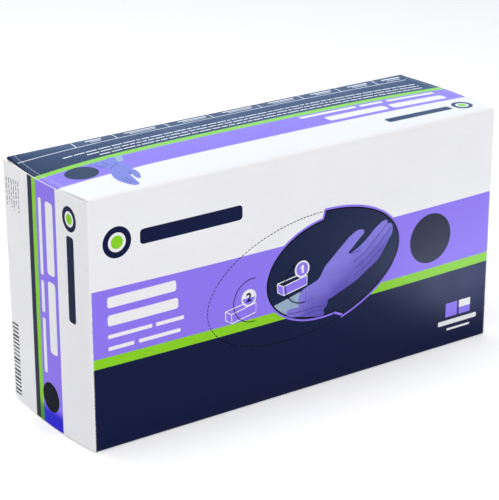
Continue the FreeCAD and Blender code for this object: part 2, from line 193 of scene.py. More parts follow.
class CartonSizes(bpy.types.PropertyGroup):
    """The carton's sizes, as it is folded from its board."""

    length: metres("Length", "Between the two creases of the front panel", 2 * HALF_LENGTH)
    depth: metres("Depth", "From the front panel to the back panel", TOP_HIGH.y - TOP_LOW.y)
    height: metres("Height", "From the base to the top panel", TOP_HIGH.z)
    board: metres("Board", "Thickness of the folding boxboard", 0.0005)
    crease: metres("Crease Radius", "Outside radius of a creased edge", 0.0009)
    bow: metres("End Bow", "How far each end stands out at its middle", -FLAP_LOW.x - HALF_LENGTH)
    front_swell: metres("Front Swell", "How far the full stack pushes the front panel out", 0.0024)
    top_swell: metres("Top Swell", "How far the full stack pushes the top panel up", 0.0024)
    back_swell: metres("Back Swell", "How far the full stack pushes the back panel out", 0.0009)
    ink_lift: metres("Ink Lift", "How far the small print stands off the board", 0.00003)


class CartonColours(bpy.types.PropertyGroup):
    """The printed and plain colours, as sRGB hex values."""

    white: hue("Board White", "Coated, unprinted board", "F4F4F7")
    violet: hue("Violet Band", "Wide printed band", "937BF7")
    green: hue("Green Stripe", "Narrow printed stripe", "8DD622")
    navy: hue("Navy Band", "Dark printed band", "02113E")
    charcoal: hue("Dark Disc", "Printed blank disc", "06112F")
    inside: hue("Board Inside", "Uncoated side of the board", "D9D5CC")
    raw: hue("Raw Edge", "Cut edge of the board", "F7F6F3")
    # The slit edge's dark grey is painted shade, standing for the shadow inside the cuts.
    slit: hue("Slit Edge", "Die-cut edge inside a slit, pressed dark by the rule", "4B4A55")
    glove: hue("Glove", "Nitrile film", "7867D6")
    glue: hue("Glue", "Hot-melt glue", "DCCB97")
    floor: hue("Floor", "Studio floor", "FBFBFC")


class StudioLight(bpy.types.PropertyGroup):
    """Camera and light of the studio."""

    azimuth: degrees("Azimuth", "Camera's turn about the vertical", -35.07)
    elevation: degrees("Elevation", "Camera's height above the horizon", 21.41)
    distance: metres("Distance", "Camera to its target", 0.9825)
    target: bpy.props.FloatVectorProperty(
        name="Target",
        description="Point that the camera looks at",
        default=(-0.00571, 0.00001, 0.06387),
        subtype="TRANSLATION",
    )
    lens: bpy.props.FloatProperty(
        name="Lens", description="Focal length in millimetres on a 36 mm sensor", default=141.73
    )
    world: bpy.props.FloatProperty(
        name="Surround", description="Strength of the plain white surround", default=0.23
    )
    top: watts("Overhead", "Power of the overhead softbox", 9.2)
    front: watts("Front", "Power of the front softbox", 3.75)
    card: watts("Floor Card", "Power of the card mirrored in the front's lower right", 0.6)
    left: watts("Left", "Power of the softbox behind the left end", 2.4)
    rear: watts("Rear Card", "Power of the bright card behind, mirrored in the top", 14.5)


# ------------------------------------------------------------------- helpers


def sizes():
    return bpy.context.scene.carton_sizes


def mm_of(name):
    """One of the carton's sizes in millimetres."""
    return getattr(sizes(), name) / MM


def linear(hexed):
    """A colour of the carton by its name, or an sRGB hex value, as linear red, green, blue and alpha."""
    hexed = getattr(bpy.context.scene.carton_colours, hexed, hexed)
    parts = [int(hexed[i : i + 2], 16) / 255 for i in (0, 2, 4)]
    return [p / 12.92 if p <= 0.04045 else ((p + 0.055) / 1.055) ** 2.4 for p in parts] + [1.0]


def clamp(value):
    return min(1.0, max(0.0, value))


def add(tree, kind, feeds=None, out=0, **settings):
    """Adds a shader node with its settings, links or sets its inputs, and returns one output."""
    made = tree.nodes.new("ShaderNode" + kind)
    for setting, value in settings.items():
        setattr(made, setting, value)
    for socket, value in (feeds or {}).items():
        spot = made.inputs[socket]
        if isinstance(value, bpy.types.NodeSocket):
            tree.links.new(value, spot)
        else:
            spot.default_value = value[: len(spot.default_value)] if isinstance(value, list) else value
    return made.outputs[out] if len(made.outputs) else made


def clear_selection():
    if bpy.context.object and bpy.context.object.mode != "OBJECT":
        bpy.ops.object.mode_set(mode="OBJECT")
    bpy.ops.object.select_all(action="DESELECT")


def only(obj):
    clear_selection()
    obj.select_set(True)
    bpy.context.view_layer.objects.active = obj
    return obj


def edit_all(obj, operator, **settings):
    """Runs one mesh operator on the whole of an object."""
    only(obj)
    bpy.ops.object.mode_set(mode="EDIT")
    bpy.ops.mesh.select_all(action="SELECT")
    operator(**settings)
    bpy.ops.object.mode_set(mode="OBJECT")


def linked(name, data):
    obj = bpy.data.objects.new(name, data)
    bpy.context.collection.objects.link(obj)
    return obj


def apply(obj, kind, **settings):
    """Adds a modifier with its settings and applies it."""
    only(obj)
    made = obj.modifiers.new(kind.title(), kind)
    for setting, value in settings.items():
        setattr(made, setting, value)
    bpy.ops.object.modifier_apply(modifier=made.name)
    return obj


def carve(obj, tool, operation, keep_tool=False):
    apply(obj, "BOOLEAN", object=tool, operation=operation, solver="EXACT")
    if not keep_tool:
        bpy.data.objects.remove(tool)
    return obj


def join(name, parts):
    clear_selection()
    for part in parts:
        part.select_set(True)
    bpy.context.view_layer.objects.active = parts[0]
    if len(parts) > 1:
        bpy.ops.object.join()
    parts[0].name = parts[0].data.name = name
    return parts[0]


def smooth(obj, angle=30):
    only(obj)
    bpy.ops.object.shade_smooth_by_angle(angle=math.radians(angle))
    return obj


def outward(obj):
    """Turns a sheet's faces away from the carton's middle."""
    middle = Vector((0, 0, sizes().height / 2))
    if sum((f.center - middle).dot(f.normal) * f.area for f in obj.data.polygons) < 0:
        edit_all(obj, bpy.ops.mesh.flip_normals)
    return obj


def dress(obj, materials):
    """Gives an object these materials and no others."""
    obj.data.materials.clear()
    for material in materials:
        obj.data.materials.append(material)
    return obj


def sheet(name, across, along, place, materials, inner=1, rim=2):
    """A creased sheet: a grid with a station at each pair of values, put in place and thickened inwards."""
    clear_selection()
    last_i, last_j = len(across) - 1, len(along) - 1
    bpy.ops.mesh.primitive_grid_add(x_subdivisions=last_i, y_subdivisions=last_j, size=1)
    obj = bpy.context.object
    obj.name = obj.data.name = name
    for v in obj.data.vertices:
        i, j = round((v.co.x + 0.5) * last_i), round((v.co.y + 0.5) * last_j)
        v.co = Vector(place(across[i], along[j])) * MM
    outward(dress(obj, materials))
    skin = {"thickness": sizes().board, "offset": -1, "use_even_offset": False}
    return apply(obj, "SOLIDIFY", material_offset=inner, material_offset_rim=rim, **skin)


def steps(low, high, pitch):
    """Evenly spaced values from low to high, no further apart than pitch."""
    count = max(1, math.ceil(abs(high - low) / pitch))
    return [low + (high - low) * i / count for i in range(count + 1)]


def prism(node, stretch=20.0):
    """A copy of a flat CAD part of the front, drawn out through the board."""
    copy = linked(node + "_tool", frame["nodes"][node].data.copy())
    edit_all(copy, bpy.ops.mesh.remove_doubles, threshold=1e-6)
    middle = (0, (FRONT_LOW.y + FRONT_HIGH.y) / 2, 0)
    edit_all(copy, bpy.ops.transform.resize, value=(1, stretch, 1), center_override=middle)
    return dress(copy, [])


def outline_of(node):
    """The outer edge of a flat CAD part of the front, as points in order in millimetres."""
    tool = prism(node)
    used = {}
    for face in tool.data.polygons:
        if face.normal.y < -0.9:
            for key in face.edge_keys:
                used[key] = used.get(key, 0) + 1
    after = {}
    for a, b in (key for key, count in used.items() if count == 1):
        after.setdefault(a, []).append(b)
        after.setdefault(b, []).append(a)
    places = [(v.co.x / MM, v.co.z / MM) for v in tool.data.vertices]
    bpy.data.objects.remove(tool)
    loops = []
    while after:
        here = next(iter(after))
        loop = []
        while here is not None:
            loop.append(here)
            there = [n for n in after.pop(here) if n in after]
            here = there[0] if there else None
        loops.append([places[i] for i in loop])
    return max(loops, key=lambda loop: max(p[0] for p in loop) - min(p[0] for p in loop))


def away_from(point, outline):
    """The distance from a point to an outline."""
    gaps = []
    for a, b in zip(outline, outline[1:] + outline[:1]):
        a, b, p = Vector(a), Vector(b), Vector(point)
        share = clamp((p - a).dot(b - a) / max(1e-9, (b - a).length_squared))
        gaps.append((p - a.lerp(b, share)).length)
    return min(gaps)


def grown(points, by):
    """An outline moved outwards by a distance, or inwards by a negative one."""
    area = sum(a[0] * b[1] - b[0] * a[1] for a, b in zip(points, points[1:] + points[:1]))
    turn = 1 if area > 0 else -1
    made = []
    for i, here in enumerate(points):
        before, after = Vector(points[i - 1]), Vector(points[(i + 1) % len(points)])
        a, b = (Vector(here) - before).normalized(), (after - Vector(here)).normalized()
        side = Vector((a.y + b.y, -a.x - b.x)) * turn
        made.append(tuple(Vector(here) + side.normalized() * by / max(0.5, side.length / 2)))
    return made


def block(low, high):
    """A plain box between two corners in millimetres, used as a cutting tool."""
    clear_selection()
    bpy.ops.mesh.primitive_cube_add(size=1)
    obj = bpy.context.object
    for v in obj.data.vertices:
        v.co = Vector([(a + b) / 2 + c * (b - a) for a, b, c in zip(low, high, v.co)]) * MM
    return obj


def tag(obj, index, slots):
    """Gives a cutting tool the slots of the board, so that the cut faces take one of them."""
    dress(obj, slots)
    for face in obj.data.polygons:
        face.material_index = index
    return obj


def settle(obj, body, slot, *nodes):
    """Puts a finished piece on its body, names its finish, and lets it stand for CAD parts."""
    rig.ride(obj, body)
    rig.slot(obj, slot)
    if nodes:
        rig.replaces(obj, *nodes)
    return obj


# -------------------------------------------------------- the carton's shape
# Lengths in this part are millimetres.

# How deep each layer of board lies inside the outer flap's skin.
INNER_FLAP, DUST_FLAP, SLEEVE_END = 0.8, 1.6, 2.1


def half_length():
    return mm_of("length") / 2


def half_depth():
    return mm_of("depth") / 2


def tall():
    return mm_of("height")


def swell_front(x, z):
    """The stack pushes the front panel out, most a little above the middle and left of it."""
    reach = half_length() - 5 if x < -5 else half_length() + 5
    run = max(0.0, 1 - abs((x + 5) / reach) ** 2.4)
    return mm_of("front_swell") * run * math.sin(math.pi * clamp((tall() - z) / tall()) ** 0.79)


def swell_top(x, y):
    """The top panel crowns behind its middle line and dips at its left end."""
    share = clamp((half_depth() - y) / (2 * half_depth()))
    run = x / half_length()
    crown = 1 - min(1.0, abs(run)) ** 2.4 if run > 0 else 1 - 1.46 * min(1.0, abs(run)) ** 3.9
    return mm_of("top_swell") * crown * math.sin(math.pi * share**0.756)


def swell_back(x, z):
    run = max(0.0, 1 - abs(x / half_length()) ** 2.4)
    return mm_of("back_swell") * run * math.sin(math.pi * clamp(z / tall()))


def end_reach(y, depth=0.0):
    """How far an end's bowed skin stands from the middle, depth millimetres inside its outer face."""
    bow = mm_of("bow")
    radius = (half_depth() ** 2 + bow**2) / (2 * bow)
    return half_length() + bow - radius + math.sqrt((radius - depth) ** 2 - y**2)


def top_reach(y):
    """How far the top and the base run out: bowed under the end flaps, and filled out at the corners."""
    share = clamp((abs(y) - 29) / 8.5)
    bowed = end_reach(y, SLEEVE_END)
    return bowed + (half_length() - 0.8 - bowed) * share * share


def dust_hinge():
    """How far out the dust flaps turn: half-way along the bow of their creases."""
    return end_reach(half_depth(), DUST_FLAP) + mm_of("bow") / 2


def dust_reach(y, down, level):
    """A dust flap's skin. The bottom one bows less near its crease, so that it folds down onto the floor."""
    bowed = end_reach(y, DUST_FLAP)
    return bowed if level == "top" else min(bowed, dust_hinge() + 0.08 * down)


def base_reach(y):
    """How far the base runs out: no further than the bottom dust flaps' hinge, so that they fold down."""
    return min(top_reach(y), dust_hinge() + 0.1)


def flare(y, z):
    """The left outer flap's free edge springs away from the carton, most at its top."""
    share = clamp((y - 8) / (half_depth() - 8))
    return 1.7 * share**2 * (0.35 + 0.65 * max(0.0, z) / tall())


def front(x, z, lift=0.0):
    return x, -half_depth() - swell_front(x, z) - lift, z


def top(x, y, lift=0.0):
    return x, y, tall() + swell_top(x, y) + lift


def back(x, z, lift=0.0):
    return x, half_depth() + swell_back(x, z) + lift, z


def left_end(y, z, lift=0.0):
    return -end_reach(y, -lift) - flare(y, z), y, z


def right_end(y, z, lift=0.0):
    return end_reach(y, -lift), y, z


ENDS = (("left", -1, left_end), ("right", 1, right_end))
LEVELS = (("top", 1), ("bottom", -1))


# ------------------------------------------------------------------ materials


def fresh(name):
    """An empty material, its tree, and its object coordinates in millimetres: a vector and three sockets."""
    material = bpy.data.materials.new(name)
    material.use_nodes = True
    tree = material.node_tree
    tree.nodes.clear()
    mm = add(tree, "VectorMath", {0: add(tree, "TexCoord", out="Object"), 3: 1 / MM}, operation="SCALE")
    split = tree.nodes.new("ShaderNodeSeparateXYZ")
    tree.links.new(mm, split.inputs[0])
    return material, tree, mm, *split.outputs


def surfaced(material, **inputs):
    """Ends a material in one principled shader. An input's name is written with _ for its spaces."""
    tree = material.node_tree
    shader = add(tree, "BsdfPrincipled", {name.replace("_", " "): v for name, v in inputs.items()})
    add(tree, "OutputMaterial", {0: shader})
    return material


def maths(tree, operation, a, b=0.0, c=0.0):
    return add(tree, "Math", {0: a, 1: b, 2: c}, operation=operation)


def grain(tree, mm, scale, detail, **more):
    return add(tree, "TexNoise", {"Vector": mm, "Scale": scale, "Detail": detail, **more})


def ramp(tree, value, low, high, start, end, **settings):
    """Carries a value from the range low to high into the range start to end."""
    return add(tree, "MapRange", {0: value, 1: low, 2: high, 3: start, 4: end}, **settings)


def bumped(tree, height, strength, distance, **more):
    return add(tree, "Bump", {"Height": height, "Strength": strength, "Distance": distance, **more})


def toned(tree, colour, tone):
    return add(tree, "VectorMath", {0: colour, 3: tone}, operation="SCALE")


def mix(tree, share, a, b):
    return add(tree, "Mix", {0: share, 6: a, 7: b}, out=2, data_type="RGBA")


def bands(tree, value, first, *stops):
    """Printed bands: the colour changes at each stop along value."""
    colour = linear(first)
    for edge, hexed in stops:
        colour = mix(tree, maths(tree, "GREATER_THAN", value, edge), colour, linear(hexed))
    return colour


def near(tree, value, target, width):
    """1 on target, falling to 0 at width either side."""
    away = maths(tree, "ABSOLUTE", maths(tree, "SUBTRACT", value, target))
    return ramp(tree, away, 0.0, width, 1.0, 0.0, interpolation_type="SMOOTHSTEP")


def coated_board(name, colour_of, wear=None, rough=0.42):
    """Clay-coated folding boxboard, offset printed and varnished: a satin skin with the machine's streaks."""
    material, tree, mm, x, y, z = fresh(name)
    colour = colour_of(tree, x, y, z) if callable(colour_of) else linear(colour_of)
    # Ink lies a little unevenly: 25 mm clouds and 1.5 mm mottle.
    cloud = grain(tree, mm, 0.04, 3.0)
    mottle = grain(tree, mm, 0.7, 4.0)
    tone = maths(tree, "MULTIPLY_ADD", cloud, 0.05, maths(tree, "MULTIPLY_ADD", mottle, 0.05, 0.95))
    colour = toned(tree, colour, tone)
    if wear:
        # Fibres show white where the crease has cracked the coating.
        grit = ramp(tree, grain(tree, mm, 1.1, 5.0), 0.35, 0.6, 0.25, 0.9)
        colour = mix(tree, maths(tree, "MULTIPLY", wear(tree, x, y, z), grit), colour, linear("raw"))
    # Fibre shows through the coating at 1 mm, and streaks run along the length.
    fibre = grain(tree, mm, 1.0, 6.0, Roughness=0.6)
    stretched = add(tree, "VectorMath", {0: mm, 1: (0.02, 0.6, 0.6)}, operation="MULTIPLY")
    streak = grain(tree, stretched, 1.0, 3.0)
    relief = maths(tree, "MULTIPLY_ADD", streak, 0.5, maths(tree, "MULTIPLY", fibre, 0.5))
    bump = bumped(tree, relief, 0.22, 0.00006)
    gloss = ramp(tree, cloud, 0.3, 0.7, rough - 0.03, rough + 0.04)
    traits = {"Base_Color": colour, "Roughness": gloss, "Normal": bump}
    return surfaced(material, IOR=1.45, Specular_IOR_Level=0.1, **traits)


def front_bands(tree, x, y, z):
    """From the base up. The back is printed with the same bands."""
    return bands(tree, z, "navy", (42.0, "green"), (47.0, "violet"), (80.5, "white"))


def top_bands(tree, x, y, z):
    """From the front to the back."""
    return bands(tree, y, "white", (-14.2, "violet"), (2.8, "green"), (7.0, "navy"))


def bottom_bands(tree, x, y, z):
    return bands(tree, y, "navy", (0.0, "white"))


def end_bands(tree, x, y, z):
    """The violet, the green and the navy are painted deeper and darker towards the bottom of the end: painted shade.
    """
    foot_shade = ramp(tree, z, 7.0, 13.0, 1.0, 0.0, interpolation_type="SMOOTHSTEP")
    # The second set of colours is painted shade. It is mixed in fully below 7 mm and fades out by 13 mm.
    pale, deep = (
        bands(tree, y, "white", (-13.3, violet), (4.2, green), (7.8, navy), (12.1, "white"))
        for violet, green, navy in (("violet", "green", "navy"), ("1200DC", "3FA010", "000310"))
    )
    return mix(tree, foot_shade, pale, deep)


def front_wear(tree, x, y, z):
    ends = near(tree, maths(tree, "ABSOLUTE", x), 119.6, 0.9)
    return maths(tree, "MAXIMUM", ends, near(tree, z, 124.9, 0.9))


def top_wear(tree, x, y, z):
    """A score line that follows the bowed end, and the two long creases."""
    end_curve = 1 / (2 * 236)
    squared = maths(tree, "MULTIPLY", y, y)
    bowed = maths(tree, "MULTIPLY_ADD", squared, end_curve, maths(tree, "ABSOLUTE", x))
    score = maths(tree, "MULTIPLY", near(tree, bowed, 118.6, 0.35), 0.55)
    return maths(tree, "MAXIMUM", score, near(tree, maths(tree, "ABSOLUTE", y), 37.2, 0.8))


def flap_wear(tree, x, y, z):
    edge = near(tree, maths(tree, "ABSOLUTE", y), 37.1, 0.7)
    rims = near(tree, maths(tree, "ABSOLUTE", maths(tree, "SUBTRACT", z, 62.5)), 61.9, 0.5)
    return maths(tree, "MAXIMUM", edge, rims)


def plain_board(name, hexed, rough):
    """Uncoated side of folding boxboard: pressed pulp, matt, with short fibres and darker specks."""
    material, tree, mm, x, y, z = fresh(name)
    fibre = grain(tree, mm, 1.4, 8.0, Roughness=0.7)
    cloud = grain(tree, mm, 0.06, 4.0)
    speck = add(tree, "TexVoronoi", {"Vector": mm, "Scale": 0.45, "Randomness": 1.0})
    dots = ramp(tree, speck, 0.03, 0.09, 0.85, 1.0)
    tone = maths(tree, "MULTIPLY_ADD", fibre, 0.18, maths(tree, "MULTIPLY_ADD", cloud, 0.1, 0.86))
    colour = toned(tree, linear(hexed), maths(tree, "MULTIPLY", tone, dots))
    traits = {"Base_Color": colour, "Normal": bumped(tree, fibre, 0.5, 0.00008)}
    return surfaced(material, Roughness=rough, IOR=1.45, Specular_IOR_Level=0.15, **traits)


def hot_melt(name):
    """EVA hot-melt glue: a cloudy amber bead, waxy and slightly clear."""
    material, tree, mm, x, y, z = fresh(name)
    haze = grain(tree, mm, 0.5, 3.0)
    colour = mix(tree, haze, linear("glue"), linear("E9DDB6"))
    traits = {"Base_Color": colour, "Normal": bumped(tree, haze, 0.4, 0.0003)}
    return surfaced(material, Roughness=0.35, IOR=1.48, Subsurface_Weight=0.2, Subsurface_Scale=0.001, **traits)


def nitrile(name):
    """Dipped nitrile rubber film: violet with a soft skin-like sheen, finely pebbled by the former."""
    material, tree, mm, x, y, z = fresh(name)
    pebble = grain(tree, mm, 1.6, 5.0)
    colour = mix(tree, grain(tree, mm, 0.05, 3.0), linear("glove"), linear("8E7FE2"))
    # Slack film puckers in sharp little folds about a centimetre apart.
    fold = grain(tree, mm, 0.09, 3.0, Distortion=0.6)
    ridge = maths(tree, "ABSOLUTE", maths(tree, "SUBTRACT", fold, 0.5))
    bump = bumped(tree, pebble, 0.35, 0.0001, Normal=bumped(tree, ridge, 0.8, 0.002))
    traits = {"Base_Color": colour, "Roughness": 0.45, "Normal": bump, "IOR": 1.52}
    return surfaced(material, Sheen_Weight=0.15, Sheen_Roughness=0.4, **traits)


def picture_tones(tree, mm, x, z):
    """A half-tone picture of a violet glove, lit from above: pale along its upper edge, deep violet below."""
    slope = maths(tree, "MULTIPLY_ADD", x, -0.55, z)
    level = maths(tree, "MULTIPLY_ADD", grain(tree, mm, 0.09, 2.0), 16.0, slope)
    share = ramp(tree, level, 38.0, 66.0, 0.0, 1.0, interpolation_type="SMOOTHSTEP")
    return mix(tree, share, linear("5A4DB4"), linear("8A80E4"))


def ink(name, hexed, rough=0.4, shine=0.1):
    """Offset ink under varnish, laid solid: the same satin as the board, with a trace of mottle."""
    material, tree, mm, x, y, z = fresh(name)
    mottle = grain(tree, mm, 0.8, 4.0)
    tone = maths(tree, "MULTIPLY_ADD", mottle, 0.06, 0.97)
    colour = hexed(tree, mm, x, z) if callable(hexed) else linear(hexed)
    traits = {"Base_Color": toned(tree, colour, tone), "Normal": bumped(tree, mottle, 0.2, 0.00005)}
    return surfaced(material, Roughness=rough, IOR=1.45, Specular_IOR_Level=shine, **traits)


FINISHES = {
    "front_print": (coated_board, front_bands, front_wear),
    "top_print": (coated_board, top_bands, top_wear),
    "back_print": (coated_board, front_bands, front_wear),
    "bottom_print": (coated_board, bottom_bands),
    "left_print": (coated_board, end_bands, flap_wear),
    "right_print": (coated_board, end_bands, flap_wear),
    "tear_out_print": (coated_board, "071A42"),
    "board_inside": (plain_board, "inside", 0.85),
    "board_edge": (plain_board, "raw", 0.8),
    # Painted shade: the cut faces inside the slits are dark grey.
    "slit_edge": (plain_board, "slit", 0.9),
    "hot_melt_glue": (hot_melt,),
    "nitrile_film": (nitrile,),
    "navy_ink": (ink, "navy"),
    "white_ink": (ink, "white"),
    "violet_ink": (ink, "violet"),
    "green_ink": (ink, "green"),
    "charcoal_ink": (ink, "charcoal"),
    "end_disc_ink": (ink, "05081C", 0.4, 0.03),
    "glove_picture_top": (ink, "8086DC"),
    "grey_ink": (ink, "9A9CA3"),
    "dark_grey_ink": (ink, "33353D"),
    "sleeve_ink": (ink, "9DB4CC"),
    # Painted shadow: near-black ink laid along the cuts.
    "slit_ink": (ink, "04060F", 0.6),
    "glove_shade": (ink, "5548A6"),
    "glove_picture": (ink, picture_tones),
}
_made = {}


def use(*names):
    """Finishes by name. Each is made once, when it is first needed."""
    for name in names:
        if name not in _made:
            maker, *traits = FINISHES[name]
            _made[name] = maker(name, *traits)
    return [_made[name] for name in names]


# ------------------------------------------------------------- board pieces


def panel(node, across, along, place, slot, *finishes):
    """A flap of board that rides on the body of its name and stands for the CAD part of that name."""
    flap = smooth(sheet(node + "_board", across, along, place, use(*finishes)))
    return settle(flap, node, slot, node)


def crease(name, child, across, along, place, face, start, end):
    """The strip of board that bends between the sleeve and a flap. start and end are millimetres."""
    slots = use(face, "board_inside", "board_edge")
    strip = smooth(sheet(name + "_crease_board", across, along, place, slots), 60)
    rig.slot(strip, "printed_board")
    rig.blend(strip, "carton", child, *(tuple(v * MM for v in point) for point in (start, end)))


class CARTON_OT_sleeve(bpy.types.Operator):
    """Folds the four long panels from one sheet of board and opens the oval in the front"""

    bl_idname = "carton.sleeve"
    bl_label = "Sleeve"

    def execute(self, context):
        high, deep, radius = tall(), half_depth(), mm_of("crease")
        # Stations around the carton, from the back's lower edge over the top to the base.
        girth = [("back", z) for z in steps(0.4, high - radius, 4)]
        bend = (22.5, 45, 67.5)
        girth += [("turn", deep - radius, high - radius, a) for a in bend]
        girth += [("top", y) for y in steps(deep - radius, radius - deep, 3.4)]
        girth += [("turn", radius - deep, high - radius, a + 90) for a in bend]
        girth += [("front", z) for z in steps(high - radius, radius, 3.4)]
        girth += [("turn", radius - deep, radius, a + 180) for a in bend]
        girth += [("base", y) for y in steps(radius - deep, deep - 0.4, 5)]

        def place(station, along):
            kind, first, *rest = station
            if kind == "front":
                return front(along * (half_length() - 0.65), first)
            if kind == "back":
                return back(along * (half_length() - 0.9), first)
            if kind == "top":
                return top(along * top_reach(first), first)
            if kind == "base":
                return along * base_reach(first), first, 0.0
            level, angle = rest[0], math.radians(rest[1])
            y, z = first + radius * math.cos(angle), level + radius * math.sin(angle)
            return along * (half_length() - 0.7), y, z

        faces = [side + "_print" for side in ("front", "top", "back", "bottom")]
        faces += ["board_inside", "board_edge", "slit_edge"]
        front_face, top_face, back_face, base_face, inside, edge, slit = range(len(faces))
        slots = use(*faces)
        along = [-1 + 2 * i / 84 for i in range(85)]
        sleeve = sheet("carton_sleeve", girth, along, place, slots, 0, 0)
        outer = (len(girth) - 1) * (len(along) - 1)
        for k, face in enumerate(sleeve.data.polygons):
            c = face.center / MM
            if k >= outer:
                face.material_index = edge if k >= 2 * outer else inside
            elif c.z < 0.3:
                face.material_index = base_face
            elif c.z > high - 1.9 and abs(c.y) < deep - 0.3:
                face.material_index = top_face
            else:
                face.material_index = front_face if c.y < 0 else back_face
        # The opening's cut faces take the dark slit edge, painted shade inside the cut.
        opening = block((-62, -41, 22), (64, -33, 98))
        carve(opening, prism("front_panel"), "DIFFERENCE")
        carve(sleeve, tag(opening, slit, slots), "DIFFERENCE")
        panels = ("front_panel", "top_panel", "back_panel", "bottom_panel")
        settle(smooth(sleeve), "carton", "printed_board", *panels)
        return {"FINISHED"}


class CARTON_OT_tear_outs(bpy.types.Operator):
    """Cuts the two tear-outs of the oval and their finger tabs from the front's board"""

    bl_idname = "carton.tear_outs"
    bl_label = "Tear-outs"

    def execute(self, context):
        kinds = (
            (1, "tear_out_print", "printed_tear_out_board"),
            (2, "front_print", "printed_board"),
        )
        for number, face, slot in kinds:
            for node in (f"tear_out_{number}", f"finger_tab_{number}"):
                # The tear-outs' cut faces take the dark slit edge, painted shade inside the cut.
                slots = use(face, "board_inside", "slit_edge")
                piece = sheet(node + "_board", steps(-62, 64, 3), steps(24, 96, 3), front, slots)
                carve(piece, tag(prism(node), 2, slots), "INTERSECT")
                settle(smooth(piece), node, slot, node)
        for number, face, slot in kinds:
            low, high = (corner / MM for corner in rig.box(f"finger_tab_{number}"))
            x, y = high.x + 0.07, -half_depth() * MM
            strip = sheet(
                f"finger_tab_{number}_crease_board",
                steps(x - 0.5, x + 0.5, 0.25),
                steps(low.z + 0.3, high.z - 0.3, 3),
                lambda x, z: front(x, z, 0.012),
                use(face, "board_inside", "slit_edge"),
            )
            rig.slot(strip, slot)
            start, end = ((x + side) * MM for side in (0.3, -0.3))
            bodies = (f"tear_out_{number}", f"finger_tab_{number}")
            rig.blend(smooth(strip), *bodies, (start, y, high.z * MM), (end, y, high.z * MM))
        return {"FINISHED"}


class CARTON_OT_outer_flaps(bpy.types.Operator):
    """Folds the two printed outer end flaps, bowed by the stack"""

    bl_idname = "carton.outer_flaps"
    bl_label = "Outer Flaps"

    def execute(self, context):
        across = steps(0.9 - half_depth(), half_depth() - 0.5, 2.5)
        up = steps(0.8, tall() - 0.8, 4)
        for side, sign, end in ENDS:
            finishes = (side + "_print", "board_inside", "board_edge")
            panel(side + "_outer_flap", across, up, end, "printed_board", *finishes)
        return {"FINISHED"}


class CARTON_OT_hidden_flaps(bpy.types.Operator):
    """Folds the plain inner flaps and the tapered dust flaps that lie under the outer flaps"""

    bl_idname = "carton.hidden_flaps"
    bl_label = "Hidden Flaps"

    def execute(self, context):
        deep, high = half_depth(), tall()
        plain = ("plain_board", "board_inside", "board_inside", "board_edge")
        taper = math.tan(math.radians(26))
        for side, sign, end in ENDS:

            def inner(y, z, sign=sign):
                return sign * end_reach(y, INNER_FLAP), y, z

            panel(side + "_inner_flap", steps(1.5, deep - 0.9, 2.5), steps(1.5, high - 1.5, 5), inner, *plain)
            for level, up in LEVELS:

                def dust(share, down, sign=sign, up=up, level=level):
                    y = share * (36 - down * taper)
                    x = sign * dust_reach(y, down, level)
                    return x, y, high - down + min(0.0, swell_top(x, y)) if up > 0 else down

                panel(f"{side}_{level}_dust_flap", steps(-1, 1, 0.08), steps(0.9, 38, 3), dust, *plain)
        for name, node in frame["nodes"].items():
            if name.endswith("glue"):
                dress(node, use("hot_melt_glue"))
            elif name == "seam_flap":
                dress(node, use("board_inside"))
        return {"FINISHED"}


